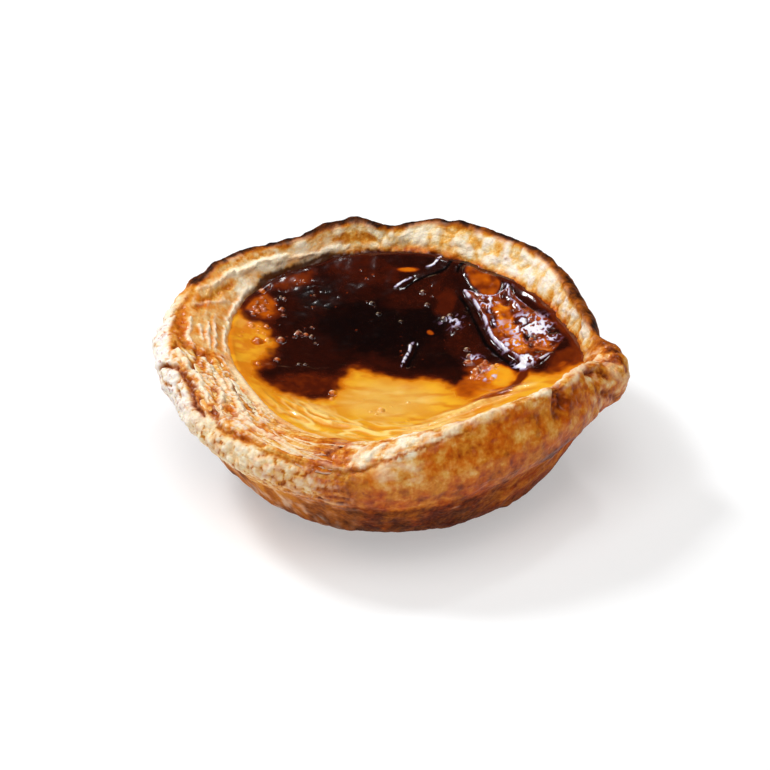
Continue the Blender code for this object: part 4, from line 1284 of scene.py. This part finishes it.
def bakedCustard():
    it = Finish("bakedCustard")
    where = it.place()
    coarse = it.spots(where, 330, 3)
    fine = it.spots(where, 1500, 2)
    caramel = it.mask("caramel")
    body = it.blend(it.mask("pale") * (0.75 + coarse * 0.25), custardTones["yolk"], custardTones["pale"])
    body = it.blend(it.mask("amber") * 0.9, body, custardTones["amber"])
    # painted pale highlights on the yellow's fold and wrinkle crests, and paler patches
    body = it.blend(it.mask("light") * 0.8, body, custardTones["light"])
    bake = it.mask("tone") * it.between(caramel, -0.15, 1.0) + coarse * 0.05
    body = it.blend(it.between(caramel, 0.0, 0.68), body, it.ramp(bake, custardTones["bake"]))
    body = it.blend(it.mask("char") * it.between(coarse, -0.6, 0.4) * 0.8, body, custardTones["char"])
    # painted highlights on the bubbles
    body = it.blend(it.mask("glint") * 0.9, body, custardTones["glint"])
    # a painted gleam laid into the colour along the folds, the flap and its creases
    gleam = it.mask("gleam") + fine * 0.10
    body = it.blend(it.between(gleam, 0.15, 0.70) * 0.9, body, it.ramp(gleam, custardTones["gleam"]))
    rough = 0.34 - it.between(caramel, 0.1, 0.5) * 0.18 + fine * 0.04 + it.mask("char") * 0.1
    height = coarse * 0.2 + fine * 0.05
    bump = it.add("ShaderNodeBump", {}, Strength=0.3, Distance=0.0003, Height=height)
    return it.finish(BaseColor=body, Roughness=rough, Normal=bump, SubsurfaceWeight=0.12,
                     SubsurfaceRadius=(1.0, 0.5, 0.15), SubsurfaceScale=0.0012, SpecularIORLevel=0.28,
                     CoatWeight=0.2, CoatRoughness=0.05)


def makeFloor():
    it = Finish("paleFloor")
    tone = it.blend(it.spots(it.place(), 40, 2), (204, 204, 204), (201, 201, 202))
    it.finish(BaseColor=tone, Roughness=0.85, SpecularIORLevel=0.2,
              EmissionColor=(1, 1, 1, 1), EmissionStrength=0.42)
    mesh = bpy.data.meshes.new("floor")
    reach = 3.0
    corners = [(-reach, -reach, 0), (reach, -reach, 0), (reach, reach, 0), (-reach, reach, 0)]
    mesh.from_pydata(corners, [], [(0, 1, 2, 3)])
    floor = bpy.data.objects.new("floor", mesh)
    bpy.context.collection.objects.link(floor)
    mesh.materials.append(it.material)


lights = {
    # azimuth and elevation in degrees, metres away, size in metres, watts, colour
    "window": (146, 46, 0.80, 0.16, 4.0, (0.95, 0.98, 1.0)),
    "overhead": (-130, 74, 1.10, 1.00, 7.4, (1.0, 1.0, 1.0)),
    "front": (-68, 57, 1.00, 0.70, 2.0, (1.0, 0.98, 0.95)),
    "backRight": (62, 58, 0.90, 0.10, 0.9, (0.95, 0.98, 1.0)),
}
roomLight = 0.015


def placeAt(azimuth, elevation, distance, target):
    turn, up = math.radians(azimuth), math.radians(elevation)
    way = Vector((math.cos(turn) * math.cos(up), math.sin(turn) * math.cos(up), math.sin(up)))
    return Vector(target) + way * distance


def pointAt(thing, place, target):
    thing.location = place
    thing.rotation_euler = (Vector(target) - place).to_track_quat("-Z", "Y").to_euler()


def makeLights(target):
    for name, (azimuth, elevation, distance, size, watts, tone) in lights.items():
        lamp = bpy.data.lights.new(name, "AREA")
        lamp.shape = "SQUARE"
        lamp.size = size
        lamp.energy = watts
        lamp.color = tone
        light = bpy.data.objects.new(name, lamp)
        bpy.context.collection.objects.link(light)
        pointAt(light, placeAt(azimuth, elevation, distance, target), target)
    world = bpy.data.worlds.new("room")
    world.use_nodes = True
    world.node_tree.nodes["Background"].inputs["Color"].default_value = (1, 1, 1, 1)
    world.node_tree.nodes["Background"].inputs["Strength"].default_value = roomLight
    bpy.context.scene.world = world


cameraView = {
    "aim": (-0.00116, 0.0, 0.0137),
    "distance": 0.56,
    "elevation": 31.5,
    "widthSeen": 0.1275,  # at the aim
    "sensor": 36.0,
}


def makeCamera():
    view = cameraView
    camera = bpy.data.cameras.new("camera")
    camera.sensor_width = view["sensor"]
    camera.lens = view["sensor"] * view["distance"] / view["widthSeen"]
    camera.clip_start = 0.01
    holder = bpy.data.objects.new("camera", camera)
    bpy.context.collection.objects.link(holder)
    pointAt(holder, placeAt(-90, view["elevation"], view["distance"], view["aim"]), view["aim"])
    bpy.context.scene.camera = holder


makeCamera()
makeFloor()
makeLights(cameraView["aim"])
bpy.context.scene.view_settings.view_transform = "Standard"
print("camera, floor and lights set")

pastryFinish = puffPastry()
case = makeCase(pastryFinish)
print("pastry case made:", len(case.data.polygons), "faces")
sheets = makeFlakes(pastryFinish)
print("loose flakes made:", len(sheets.data.polygons), "faces")
filling = makeCustard(bakedCustard())
print("custard made:", len(filling.data.polygons), "faces")

for piece, slot in ((case, "puff_pastry"), (sheets, "puff_pastry"), (filling, "baked_custard")):
    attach(piece, "root")
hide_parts("pastry_case")
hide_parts("pastry_case")
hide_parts("custard")

print("done")
